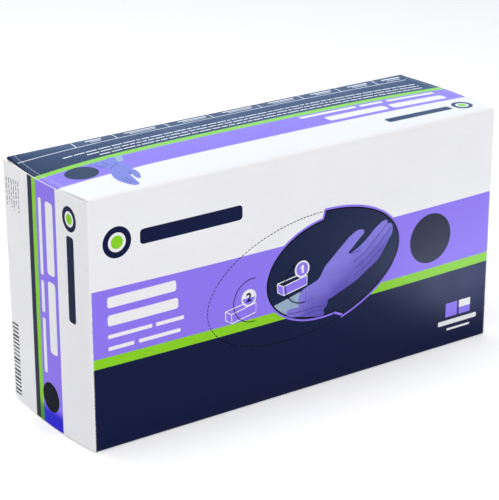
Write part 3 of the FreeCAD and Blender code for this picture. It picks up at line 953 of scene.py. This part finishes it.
class CARTON_OT_gloves(bpy.types.Operator):
    """Lays the crumpled film gloves in their stack, ten to a bundle, every other bundle turned end for end"""

    bl_idname = "carton.gloves"
    bl_label = "Gloves"

    # A glove laid flat, from its beaded cuff on the left to its fingertips: distance along, and up.
    OUTLINE = (
        (-113.5, -20), (-113.5, -38), (-112, -41), (-100, -41.5), (-75, -39), (-48, -37), (-15, -42),
        (15, -45.5), (42, -46.5), (70, -46), (91, -44), (98.5, -36.5), (92, -29), (70, -27), (49, -23.5),
        (72, -21.5), (102, -19.5), (109.8, -12), (102, -4.5), (74, -2.5), (50, 0),
        (76, 2.5), (106, 4.5), (113.3, 12), (106, 19.5), (76, 21.5), (49, 24),
        (70, 27), (96, 29), (103, 36.5), (95, 43.5), (68, 46), (40, 47.5),
        (44, 53), (53, 59), (52.5, 64.5), (42, 65.5), (22, 60), (0, 53.5), (-18, 47.5), (-48, 39.5),
        (-75, 40), (-100, 41.5), (-112, 41), (-113.5, 38), (-113.5, 20), (-113.5, 0),
    )
    LENGTH, FILM, BUNDLES, IN_BUNDLE = 227, 0.3, 10, 10
    # Where the finger tabs bend in over the front glove.
    TABS = ((-1.5, 59.4), (-31.4, 56.8))

    def pattern(self, pitch):
        """One flat glove, diced finely enough to crumple, as points and faces."""
        middle = tall() / 2 - 9
        flat_glove = dice(flat([[(x, middle + z) for x, z in self.OUTLINE]], True), pitch)
        points = [(v.co.x, v.co.y) for v in flat_glove.data.vertices]
        faces = [tuple(f.vertices) for f in flat_glove.data.polygons]
        bpy.data.objects.remove(flat_glove)
        return points, faces

    def rise(self, x, z, seed):
        """How far a glove's creases stand it forwards: the stack's folds, its own, sharp ones and puckers."""

        def at(*place):
            return noise.noise(Vector(place))

        stack = at(x * 0.012, 0.3, z * 0.022)
        folds = at(x * 0.018 + seed * 0.9, seed * 1.7, z * 0.045)
        crease = max(0.0, 1 - 5 * abs(at(x * 0.011 - z * 0.006, seed * 2.3, z * 0.03 + x * 0.004)))
        pucker = max(0.0, 1 - 4 * abs(at(x * 0.045, seed * 3.1, z * 0.06)))
        rise = 0.45 * (stack + 0.5) + 0.35 * (folds + 0.5) + 0.5 * crease**2 + 0.16 * pucker
        gap = min(math.hypot(x - a, z - b) for a, b in self.TABS)
        return rise * (0.35 + 0.65 * clamp((gap - 14) / 18))

    def film(self, name, pattern, turned, y, loose, seed):
        """One glove: two plies closed along their edge, crumpled by up to about loose millimetres."""
        points, faces = pattern
        chance = random.Random(seed)
        back, up, lean = chance.uniform(0, 3.5), chance.uniform(-1.6, 1.6), chance.uniform(-0.012, 0.012)
        made = []
        for x, z in points:
            # No two gloves lie quite alike: each is a little short of the end, high or low, and askew.
            x, z = x * (1 - back / self.LENGTH) + back / 2 * (-1) ** seed, z + up + lean * x
            x, z = (-x, tall() - z) if turned else (x, z)
            made.append(Vector((x, y - loose * self.rise(x, z, seed), z)) * MM)
        mesh = bpy.data.meshes.new(name)
        mesh.from_pydata(made, [], faces)
        obj = dress(linked(name, mesh), use("nitrile_film"))
        return apply(obj, "SOLIDIFY", thickness=self.FILM * MM, offset=0, use_even_offset=False)

    def execute(self, context):
        front, back = 12.0 - half_depth(), half_depth() - 1.9
        pitch = (back - front) / (self.BUNDLES * self.IN_BUNDLE)
        fine, plain = self.pattern(3.0), self.pattern(12.0)
        front_ones = (5.2, 3.4, 2.0)
        for bundle in range(self.BUNDLES):
            pieces = []
            for number in range(bundle * self.IN_BUNDLE, (bundle + 1) * self.IN_BUNDLE):
                y = front + (number + 0.5) * pitch
                slack = number < len(front_ones)
                loose = front_ones[number] if slack else max(0.12, 1.3 - 0.1 * number)
                shape = fine if slack else plain
                pieces.append(self.film(f"glove_{number:03d}", shape, bundle % 2 == 1, y, loose, number))
            node = f"glove_bundle_{bundle + 1:02d}"
            settle(smooth(join(node + "_film", pieces), 50), "carton", "nitrile_gloves", node)
        return {"FINISHED"}


class CARTON_OT_creases(bpy.types.Operator):
    """Joins the end flaps to the sleeve with the board that bends in their creases"""

    bl_idname = "carton.creases"
    bl_label = "Creases"

    def execute(self, context):
        deep, radius, high, turned = half_depth(), mm_of("crease"), tall(), 0.9
        quarter = steps(0, 90, 11.25)
        for side, sign, end in ENDS:

            def outer(angle, z, sign=sign):
                turn = math.radians(angle)
                y = -deep + radius - radius * math.cos(turn)
                return sign * min(half_length() - radius * 0.75 + radius * math.sin(turn), end_reach(y)), y, z

            def inner(angle, z, sign=sign):
                turn = math.radians(angle)
                x = end_reach(deep, INNER_FLAP) - radius + radius * math.sin(turn)
                return sign * x, deep - radius + radius * math.cos(turn), z

            start, stop = (sign * 119.2, -deep, 62.5), (sign * 120.0, 0.8 - deep, 62.5)
            rows = steps(0.8, high - 0.8, 6)
            crease(side + "_outer", side + "_outer_flap", quarter, rows, outer, side + "_print", start, stop)
            reach = end_reach(deep, INNER_FLAP)
            start, stop = (sign * (reach - turned), deep, 62.5), (sign * reach, deep - turned, 62.5)
            rows = steps(1.5, high - 1.5, 6)
            crease(side + "_inner", side + "_inner_flap", quarter, rows, inner, "back_print", start, stop)
            for level, up in LEVELS:

                def dust(angle, y, sign=sign, up=up):
                    turn = math.radians(angle)
                    start = top_reach(y) if up > 0 else base_reach(y)
                    out = turned if up > 0 else max(0.02, dust_reach(y, turned, "bottom") - start)
                    x = sign * (start + out * math.sin(turn))
                    sink = turned * (1 - math.cos(turn))
                    return x, y, high + swell_top(x, y) - sink if up > 0 else sink

                x, z = sign * end_reach(0, 1.2), high if up > 0 else 0.0
                name = f"{side}_{level}_dust"
                ends = (x, 0, z), (x, 0, z - up * turned)
                crease(name, name + "_flap", quarter, steps(-36.6, 36.6, 1.8), dust, level + "_print", *ends)
        return {"FINISHED"}


# --------------------------------------------------------------- small print


def ring_of(x, z, r, count=40):
    turns = [2 * math.pi * i / count for i in range(count)]
    return [(x + r * math.cos(turn), z + r * math.sin(turn)) for turn in turns]


def bar(a0, b0, a1, b1):
    return [(a0, b0), (a1, b0), (a1, b1), (a0, b1)]


def words(row, high, *spans):
    """Bars with rounded ends along one row, one for each word."""
    made = []
    for a, b in spans:
        r = min(b - a, high) / 4
        low, up = row - high / 2 + r, row + high / 2 - r
        corners = ((b - r, low, -90), (b - r, up, 0), (a + r, up, 90), (a + r, low, 180))
        turns = [(x, z, math.radians(start + 22.5 * i)) for x, z, start in corners for i in range(5)]
        made.append([(x + r * math.cos(turn), z + r * math.sin(turn)) for x, z, turn in turns])
    return made


def chatter(row, high, low, end, chance, shortest=2.0, longest=7.0):
    """A row of fine print: short bars of chance length in place of its words."""
    made, start = [], low
    while start < end:
        stop = min(end, start + chance.uniform(shortest, longest))
        made.append(bar(start, row - high / 2, stop, row + high / 2))
        start = stop + 0.8
    return made


def emblem(x, z, r):
    """A plain mark: a broad ring, with a dot of another colour printed in it."""
    return [ring_of(x, z, r), ring_of(x, z, r * 0.62)]


def line(points, width):
    """A drawn stroke along points, as one outline."""
    left, right = [], []
    for i, p in enumerate(points):
        run = (Vector(points[min(len(points) - 1, i + 1)]) - Vector(points[max(0, i - 1)])).normalized()
        side = Vector((-run.y, run.x)) * width / 2
        left.append(tuple(Vector(p) + side))
        right.append(tuple(Vector(p) - side))
    return left + right[::-1]


def strokes_of(paths, width):
    return [[line(path, width)] for path in paths]


def wire_box(x, y):
    """A little carton seen from its front, top and left: its strokes, and its front and left faces."""
    back_left, back_right, right, left = (x, y), (x + 14.2, y - 2.1), (x + 17.7, y - 0.6), (x + 3.5, y + 2.2)
    low_back, low_left, low_right = (x + 0.2, y + 4.6), (x + 3.7, y + 6.9), (x + 17.7, y + 4.3)
    lid = [back_left, back_right, right, left, back_left]
    paths = [lid, [back_left, low_back, low_left, left], [low_left, low_right, right]]
    faces = [[left, right, low_right, low_left]], [[back_left, left, low_left, low_back]]
    return strokes_of(paths, 0.5), faces


def flat(outlines, curved=False):
    """A filled shape from outlines in millimetres: an outline inside another is a hole."""
    curve = bpy.data.curves.new("print", "CURVE")
    curve.dimensions, curve.fill_mode, curve.resolution_u = "2D", "BOTH", 4
    for outline in outlines:
        spline = curve.splines.new("BEZIER" if curved else "POLY")
        points = spline.bezier_points if curved else spline.points
        points.add(len(outline) - 1)
        for point, (x, y) in zip(points, outline):
            point.co = (x, y, 0) if curved else (x, y, 0, 1)
            if curved:
                point.handle_left_type = point.handle_right_type = "AUTO"
        spline.use_cyclic_u = True
    return meshed(linked("print", curve))


def meshed(obj):
    only(obj)
    bpy.ops.object.convert(target="MESH")
    return bpy.context.object


def figure(number, x, z):
    """A plain step number, centred on a place: a bold 1, or any other as type."""
    if number == 1:
        flag = [(-0.25, 0.65), (-0.75, 0.2), (-1.25, 0.8), (0.0, 2.05)]
        stem = [(0.95, 2.05), (0.95, -2.05), (-0.25, -2.05)]
        return flat([[(x + a, z + b) for a, b in flag[2:] + stem + flag[:2]]])
    curve = bpy.data.curves.new("figure", "FONT")
    curve.body, curve.size, curve.offset = str(number), 4.2 * 1.45, 0.2
    curve.align_x, curve.align_y = "CENTER", "CENTER"
    obj = meshed(linked("figure", curve))
    for v in obj.data.vertices:
        v.co.x += x
        v.co.y += z
    return obj


def dice(obj, pitch):
    """Cuts a flat shape on a square lattice, so that it can follow a swollen panel."""
    only(obj)
    bpy.ops.object.mode_set(mode="EDIT")
    for axis in (0, 1):
        values = [v.co[axis] for v in obj.data.vertices]
        for place in steps(min(values), max(values), pitch)[1:-1]:
            bpy.ops.mesh.select_all(action="SELECT")
            spot, normal = [0, 0, 0], [0, 0, 0]
            spot[axis], normal[axis] = place, 1
            bpy.ops.mesh.bisect(plane_co=spot, plane_no=normal)
    bpy.ops.object.mode_set(mode="OBJECT")
    return obj


def filled(shapes):
    """Flat shapes as they are, and outlines filled in."""
    return [s if isinstance(s, bpy.types.Object) else flat(s) for s in shapes]


def lay(name, shapes, surface, finish, layer=1, pitch=5.0):
    """Lays flat shapes, or outlines of them, on a panel as ink that stands a hair off it."""
    obj = join(name, filled(shapes))
    edit_all(obj, bpy.ops.mesh.remove_doubles, threshold=0.0005)
    dice(obj, pitch)
    for v in obj.data.vertices:
        v.co = Vector(surface(v.co.x, v.co.y, mm_of("ink_lift") * layer)) * MM
    dress(outward(obj), use(finish))
    thickness = sizes().ink_lift + 0.00002
    return smooth(apply(obj, "SOLIDIFY", thickness=thickness, offset=-1, use_even_offset=False))


def printed(name, surface, finish, body, *shapes, layer=1, pitch=5.0):
    """Print on a panel, which rides on the panel's body."""
    settle(lay(name, shapes, surface, finish, layer, pitch), body, "printed_board")


def clipped(name, finish, layer, nodes, *shapes):
    """The same ink on each tear-out or tab that it crosses, cut along their outlines."""
    shapes = filled(shapes)
    for node in nodes:
        tool, cut = prism(node), []
        for shape in shapes:
            copy = linked(shape.name, shape.data.copy())
            piece = lay(f"{node}_{name}", [copy], front, finish, layer, 4.0)
            carve(piece, tool, "INTERSECT", True)
            if len(piece.data.polygons):
                cut.append(piece)
            else:
                bpy.data.objects.remove(piece)
        bpy.data.objects.remove(tool)
        if cut:
            piece = dress(join(f"{node}_{name}", cut), use(finish))
            settle(piece, "carton" if node == "front_panel" else node, "printed_tear_out_board")
    for shape in shapes:
        bpy.data.objects.remove(shape)


def carried(outlines, carry):
    """Outlines with each of their points carried to another place."""
    return [[carry(u, v) for u, v in outline] for outline in outlines]


def at(outlines):
    """Outlines measured from the front's upper left corner. The swell carries them a little left and up."""

    def carry(u, v):
        x, z = u - half_length(), tall() - v
        rise = swell_front(x, z)
        return x - 0.7 * rise, z + 0.48 * rise

    return carried(outlines, carry)


class CARTON_OT_front_print(bpy.types.Operator):
    """Prints the front's emblem, blank word blocks, disc and badge"""

    bl_idname = "carton.front_print"
    bl_label = "Front Print"

    def execute(self, context):
        bold = words(51.4, 5.4, (9, 46.5)) + words(60.4, 5.4, (9, 47.5))
        light = words(68.3, 1.9, (9, 33), (35, 50.5)) + words(74.3, 1.9, (9, 23), (25.5, 48.5))
        caption = words(112, 2.6, (207.5, 233.5)) + words(116, 1.2, (213.5, 229))
        for name, finish, *shapes in (
            ("navy", "navy_ink", emblem(15, 23, 7.6), words(23.2, 7.4, (27.3, 84))),
            ("dot", "green_ink", [ring_of(15, 23, 3.2)]),
            ("white", "white_ink", bold, light, [bar(221.3, 101.2, 229, 105.2)] + caption),
            ("badge", "violet_ink", [bar(212.3, 101.2, 220.1, 109)], [bar(221.3, 105.2, 229, 109)]),
            ("disc", "charcoal_ink", [ring_of(200, 62, 13.3, 72)]),
        ):
            printed(f"front_{name}_print", front, finish, "carton", *map(at, shapes))
        return {"FINISHED"}


class CARTON_OT_oval_print(bpy.types.Operator):
    """Prints the gloved hand, the step marks and the violet rim on the tear-outs, and painted shadow along their cuts
    """

    bl_idname = "carton.oval_print"
    bl_label = "Oval Print"

    CUT, BRIDGE = 1.2, 0.8
    SLEEVE = [(100, 76), (118, 71.8), (119.5, 76), (118.5, 80.2), (104, 82.5)]
    HAND = [
        (118.5, 72), (124, 69.5), (129.2, 67.5), (133, 62), (136, 59.4), (143.3, 53.3), (149, 49),
        (155.4, 47.4), (157, 48.9), (154.5, 51.5), (149.5, 56), (147.5, 58.3), (151, 57.6), (158, 53.6),
        (164, 48.6), (169.2, 45.8), (171.2, 45.9), (171.6, 47.4), (174.2, 48.4), (174.9, 50),
        (174.6, 53.6), (172.6, 56.6), (170, 60.6), (166, 65.6), (160.5, 69), (153.3, 73.3), (144, 77),
        (135, 80), (126, 80.6), (118, 80), (117, 76),
    ]
    FOLDS = [
        [(147.5, 58.3), (150.5, 58.8), (155, 58)],
        [(151, 63.4), (157, 60.6), (164, 54.6), (171.6, 47.6)],
        [(151.5, 67.2), (158.5, 63.6), (166, 58), (174.2, 50.2)],
        [(151, 70.8), (157.5, 68), (164, 63.4), (170, 58.6)],
    ]
    CUFF = [
        (109.6, 81.3), (117, 79.6), (126, 80.2), (134.4, 79.8), (134.6, 82.6),
        (132.4, 85), (132.8, 87.2), (125, 86.6), (118.3, 85),
    ]
    CUFF_FOLDS = [
        [(111, 81.8), (119, 82.4), (127, 82), (134, 82.6)],
        [(119, 85), (125.5, 84), (132.4, 84.8)],
    ]

    def perforate(self):
        """Cuts and bridges in turn along the second tear-out's perforation; the cuts are dark strokes of painted
        shadow.
        """
        edge, shared = outline_of("tear_out_2"), outline_of("tear_out_1")
        runs, cutting, dash, left = ([], []), True, [edge[0]], self.CUT
        for here, there in zip(edge, edge[1:] + edge[:1]):
            here, there = Vector(here), Vector(there)
            while (there - here).length > left:
                here = here + (there - here).normalized() * left
                dash.append(tuple(here))
                runs[0 if cutting else 1].append(line(dash, 0.34 if cutting else 1.0))
                cutting = not cutting
                dash, left = [tuple(here)], self.CUT if cutting else self.BRIDGE
            left -= (there - here).length
            dash.append(tuple(there))
        # Where the two tear-outs meet, the cut runs on without bridges.
        cuts, bridges = ([o for o in run if away_from(o[0], shared) > 1.2] for run in runs)

        def sunk(x, z, lift):
            return front(x, z, lift - 0.06)

        printed("perforation_bridges", sunk, "front_print", "tear_out_2", bridges)
        clipped("cut_print", "slit_ink", 1, ["tear_out_2"], cuts)

    def execute(self, context):
        first, second = ["tear_out_1", "finger_tab_1"], ["tear_out_2", "finger_tab_2"]
        edge = outline_of("tear_out_1")
        # The violet rim is print. The cut band, 0.05 to 0.55 mm inside the outline, is painted shadow of the cut.
        rim, cut = [grown(edge, 1.3), grown(edge, 0.1)], [grown(edge, 0.05), grown(edge, -0.55)]
        clipped("rim_print", "violet_ink", 1, ["tear_out_2", "front_panel"], rim)
        clipped("cut_print", "slit_ink", 1, ["tear_out_1"], cut)
        self.perforate()
        for number, width in ((1, 0.45), (2, 0.25)):
            # The C-shaped cut runs round the tab, and leaves out the side along which it bends; it is drawn as a dark
            # stroke of painted shadow.
            arc = outline_of(f"finger_tab_{number}")
            crease_x = max(p[0] for p in arc) - 0.3
            start = max(i for i in range(len(arc)) if arc[i - 1][0] > crease_x >= arc[i][0])
            arc = [p for p in arc[start:] + arc[:start] if p[0] <= crease_x]
            nodes = [f"finger_tab_{number}", f"tear_out_{number}"]
            clipped(f"tab_{number}_cut_print", "slit_ink", 3, nodes, [line(arc, width)])
        for name, finish, layer, curved, *shapes in (
            ("sleeve", "sleeve_ink", 1, False, [self.SLEEVE]),
            ("glove", "glove_picture", 2, True, [self.HAND]),
            ("fold", "glove_shade", 4, False, *strokes_of(self.FOLDS, 0.4)),
            ("cuff", "glove_picture", 3, True, [self.CUFF]),
            ("cuff_fold", "glove_shade", 5, False, *strokes_of(self.CUFF_FOLDS, 0.4)),
        ):
            clipped(name + "_print", finish, layer, first, *(flat(at(s), curved) for s in shapes))
        for number, nodes, corner, middle, figure_ink in (
            (1, first, (104.3, 64.5), (119, 60), "white_ink"),
            (2, second, (73.9, 71.6), (87.5, 67.5), "navy_ink"),
        ):
            strokes, faces = wire_box(*corner)
            disc = ring_of(*middle, 3.5)
            if number == 1:
                clipped("step_1_faces_print", "violet_ink", 3, nodes, *map(at, faces))
            else:
                disc = [p for p in disc if p[1] >= middle[1] - 0.05]
            clipped(f"step_{number}_box_print", "white_ink", 4, nodes, *map(at, strokes))
            clipped(f"step_{number}_ring_print", "white_ink", 5, nodes, at([ring_of(*middle, 4.4)]))
            clipped(f"step_{number}_disc_print", "violet_ink", 6, nodes, at([disc]))
            (spot,) = at([[middle]])[0]
            clipped(f"step_{number}_figure_print", figure_ink, 7, nodes, figure(number, *spot))
        return {"FINISHED"}


class CARTON_OT_top_print(bpy.types.Operator):
    """Prints the top's rules, blank blocks, disc and gloved hand"""

    bl_idname = "carton.top_print"
    bl_label = "Top Print"

    SLEEVE = [(41.2, 31), (45.4, 31), (43.6, 35), (41.7, 38.6), (38.9, 38.4), (40, 34.5)]
    CUFF = [
        (26.5, 33), (33, 32.6), (40.6, 31.6), (39.6, 36), (38.6, 39.2),
        (34, 41.6), (31, 44.6), (29.9, 41), (28.2, 37),
    ]
    HAND = [
        (38.9, 39.2), (40.3, 41.7), (40.2, 46), (39.5, 50), (39.5, 54), (38.7, 57.5), (37.2, 60.9),
        (35.8, 63), (34.6, 61.3), (35, 58.6), (35, 56.2), (33.9, 58.4), (33.2, 62), (32.5, 65),
        (31.4, 69), (29.3, 70), (27.6, 68), (26.4, 63.7), (26, 58), (26.8, 54), (28.3, 49.6),
        (30.4, 44.5), (33.8, 41),
    ]
    FOLDS = [
        [(28.4, 34), (29.4, 37.5), (31.4, 41)],
        [(33, 33.5), (33.4, 37), (32.6, 40)],
        [(31, 44.4), (34.6, 41.4), (38.6, 39.4)],
        [(28.8, 57.5), (28.4, 62), (28.9, 66.5)],
        [(30.9, 58), (30.3, 62.5), (30.4, 67)],
        [(36.2, 52), (35.4, 54.5), (35, 56.4)],
    ]

    def at(self, outlines, middle):
        """Outlines measured from the top's left rear corner. The crown carries them towards its front left."""
        x = middle - half_length()

        def carry(u, w):
            y = half_depth() - w
            y -= 2.09 * swell_top(x, y - 3)
            return u - half_length() - 1.47 * swell_top(x, y), y

        return carried(outlines, carry)

    def execute(self, context):
        rules = [bar(3, 7.1, 237, 7.6)]
        rules += [bar(u - 0.25, 0.2, u + 0.25, 7.1) for u in (35, 58, 88, 114, 143.5, 170, 194, 218.5)]
        cells = []
        for a, b in ((42, 51), (64, 82), (95, 112), (122, 140), (150, 166), (177, 190), (201, 214), (224, 236)):
            cells += words(2.5, 1.2, (a, b)) + words(4.7, 0.7, (a + 2, b - 1))
        chance = random.Random(5)
        tiny = []
        for w, a in ((15.5, 23), (18.9, 34), (22.4, 39)):
            tiny += chatter(w, 0.9, a, 236, chance)
        bold = words(43, 6.2, (157.5, 195), (198, 233))
        light = words(34.4, 2.6, (147, 182), (184.5, 199), (202, 233))
        white = [(rules, 120), (cells, 120), (tiny, 120), (bold, 195), (light, 195)]
        brand = [(emblem(229.5, 61.8, 5.6), 229), (words(61.2, 5.2, (181, 222)), 200)]
        folds = [(stroke, 35) for stroke in strokes_of(self.FOLDS, 0.35)]
        for name, finish, layer, pitch, shapes in (
            ("white", "white_ink", 1, 5.0, white),
            ("navy", "navy_ink", 1, 5.0, brand),
            ("dot", "green_ink", 1, 5.0, [([ring_of(229.5, 61.8, 2.3)], 229)]),
            ("disc", "charcoal_ink", 1, 5.0, [([ring_of(17.2, 41.7, 8, 60)], 17)]),
            ("sleeve", "sleeve_ink", 2, 3.0, [([self.SLEEVE], 35)]),
            ("glove", "glove_picture_top", 3, 3.0, [([self.CUFF], 35, True), ([self.HAND], 35, True)]),
            ("fold", "glove_shade", 4, 3.0, folds),
        ):
            made = [flat(self.at(outlines, middle), *curved) for outlines, middle, *curved in shapes]
            printed(f"top_{name}_print", top, finish, "carton", *made, layer=layer, pitch=pitch)
        return {"FINISHED"}


class CARTON_OT_end_print(bpy.types.Operator):
    """Prints the ends' blank blocks, emblem, disc and lot label"""

    bl_idname = "carton.end_print"
    bl_label = "End Print"

    def at(self, outlines):
        """Outlines measured from the end's upper rear corner. The bow carries them forwards and up."""

        def carry(u, v):
            y = half_depth() - u
            y -= 1.43 * max(0.0, end_reach(y - 3) - half_length())
            return y, tall() - v + 0.66 * max(0.0, end_reach(y) - half_length())

        return carried(outlines, carry)

    def execute(self, context):
        def swap(outlines):
            return carried(outlines, lambda u, v: (v, u))

        for side, sign, end in ENDS:
            chance = random.Random(7)
            lot = []
            for row in range(6):
                lot += swap(chatter(2.2 + row * 2.1, 0.7, 9, 24 + chance.uniform(-3, 3), chance, 1.5, 4))
            bars, v = [], 84.0
            while v < 121.5:
                bars.append(bar(0.5, v, 6.6, v + chance.choice((0.7, 0.9, 1.2))))
                v += 2.05
            light = swap(words(32.7, 2.6, (11, 49), (52, 68), (71, 99)))
            for name, finish, *shapes in (
                ("navy", "navy_ink", emblem(59.2, 13.6, 6.1), swap(words(59.3, 6.2, (22, 64.5)))),
                ("dot", "green_ink", [ring_of(59.2, 13.6, 2.5)]),
                ("white", "white_ink", swap(words(41, 6.6, (11, 47), (50.5, 87))), light),
                ("disc", "end_disc_ink", [ring_of(36.5, 110.8, 7.5, 60)]),
                ("label", "grey_ink", lot),
                ("bar", "dark_grey_ink", bars),
            ):
                printed(f"{side}_{name}_print", end, finish, side + "_outer_flap", *map(self.at, shapes))
        return {"FINISHED"}


# --------------------------------------------------------------------- stage


class CARTON_OT_stage(bpy.types.Operator):
    """Sets the pale floor, the soft light and the camera"""

    bl_idname = "carton.stage"
    bl_label = "Stage"

    def softbox(self, name, place, aim, size, power, tint="FFFFFF", only_gloss=False):
        lamp = bpy.data.lights.new(name, "AREA")
        lamp.color, lamp.energy, lamp.shape = linear(tint)[:3], power, "RECTANGLE"
        lamp.size, lamp.size_y = size
        obj = linked(name, lamp)
        obj.location = place
        obj.visible_diffuse, obj.visible_camera = not only_gloss, False
        obj.rotation_euler = (Vector(aim) - Vector(place)).to_track_quat("-Z", "Y").to_euler()

    def execute(self, context):
        scene, light = context.scene, context.scene.studio_light
        scene.view_settings.view_transform = "Standard"
        scene.view_settings.look = "None"
        clear_selection()
        bpy.ops.mesh.primitive_plane_add(size=60)
        floor = context.object
        floor.name = "floor"
        # The paper is lit from below, evenly near the carton and brighter out of the softboxes' reach.
        material, tree, mm, x, y, z = fresh("studio_paper")
        away = add(tree, "VectorMath", {0: mm}, out="Value", operation="LENGTH")
        glow = ramp(tree, away, 900.0, 2500.0, 0.32, 1.1)
        paper = {"Base_Color": linear("floor"), "Roughness": 0.9, "Specular_IOR_Level": 0.1}
        surfaced(material, Emission_Color=linear("FFFFFF"), Emission_Strength=glow, **paper)
        dress(floor, [material])
        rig.stage(floor)

        scene.world = bpy.data.worlds.new("studio_surround")
        scene.world.use_nodes = True
        surround = scene.world.node_tree.nodes["Background"].inputs
        surround[0].default_value, surround[1].default_value = linear("FFFFFF"), light.world

        self.softbox("overhead_softbox", (-0.15, 0.05, 1.1), (0, 0, 0.06), (1.2, 1.0), light.top)
        self.softbox("front_softbox", (0.15, -1.2, 0.75), (0, 0, 0.05), (1.0, 0.8), light.front)
        self.softbox("rear_card", (0.65, 1.15, 0.55), (0, 0, 0.12), (1.9, 0.7), light.rear, "A8D0FF", True)
        self.softbox("left_softbox", (-0.55, 1.3, 0.5), (0, 0, 0.06), (0.8, 0.8), light.left)
        card, above = (0.2225, -0.0975, 0.002), (0.2225, -0.0975, 1.0)
        self.softbox("floor_card", card, above, (0.215, 0.055), light.card, "DCE6FF", True)

        lens = bpy.data.cameras.new("camera")
        lens.lens, lens.sensor_width, lens.sensor_fit = light.lens, 36, "AUTO"
        lens.clip_start, lens.clip_end = 0.01, 50
        scene.camera = linked("camera", lens)
        a, e = light.azimuth, light.elevation
        away = Vector((math.sin(a) * math.cos(e), -math.cos(a) * math.cos(e), math.sin(e)))
        scene.camera.location = Vector(light.target) + away * light.distance
        scene.camera.rotation_euler = (-away).to_track_quat("-Z", "Y").to_euler()
        return {"FINISHED"}


# --------------------------------------------------------------------- add-on


class CARTON_PT_panel(bpy.types.Panel):
    """Shows the carton's settings, and its pieces in the order in which they are made"""

    bl_label = "Glove Carton"
    bl_idname = "CARTON_PT_panel"
    bl_space_type = "VIEW_3D"
    bl_region_type = "UI"
    bl_category = "Glove Carton"

    def draw(self, context):
        for name, group in GROUPS.items():
            box = self.layout.box()
            for setting in group.__annotations__:
                box.prop(getattr(context.scene, name), setting)
        for operator in OPERATORS:
            self.layout.operator(operator.bl_idname)


GROUPS = {"carton_sizes": CartonSizes, "carton_colours": CartonColours, "studio_light": StudioLight}
OPERATORS = (
    CARTON_OT_stage,
    CARTON_OT_sleeve,
    CARTON_OT_tear_outs,
    CARTON_OT_outer_flaps,
    CARTON_OT_hidden_flaps,
    CARTON_OT_gloves,
    CARTON_OT_creases,
    CARTON_OT_front_print,
    CARTON_OT_oval_print,
    CARTON_OT_top_print,
    CARTON_OT_end_print,
)
CLASSES = (*GROUPS.values(), *OPERATORS, CARTON_PT_panel)


def register():
    for cls in CLASSES:
        bpy.utils.register_class(cls)
    for name, group in GROUPS.items():
        setattr(bpy.types.Scene, name, bpy.props.PointerProperty(type=group))


def unregister():
    for name in GROUPS:
        delattr(bpy.types.Scene, name)
    for cls in reversed(CLASSES):
        bpy.utils.unregister_class(cls)


def main():
    register()
    for operator in OPERATORS:
        group, name = operator.bl_idname.split(".")
        getattr(getattr(bpy.ops, group), name)()
    clear_selection()
    with open("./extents.json", "w") as f:
        json.dump({"cad": CAD_BOX, "visual": [list(corner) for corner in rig.bounds()]}, f)


if __name__ == "__main__":
    main()
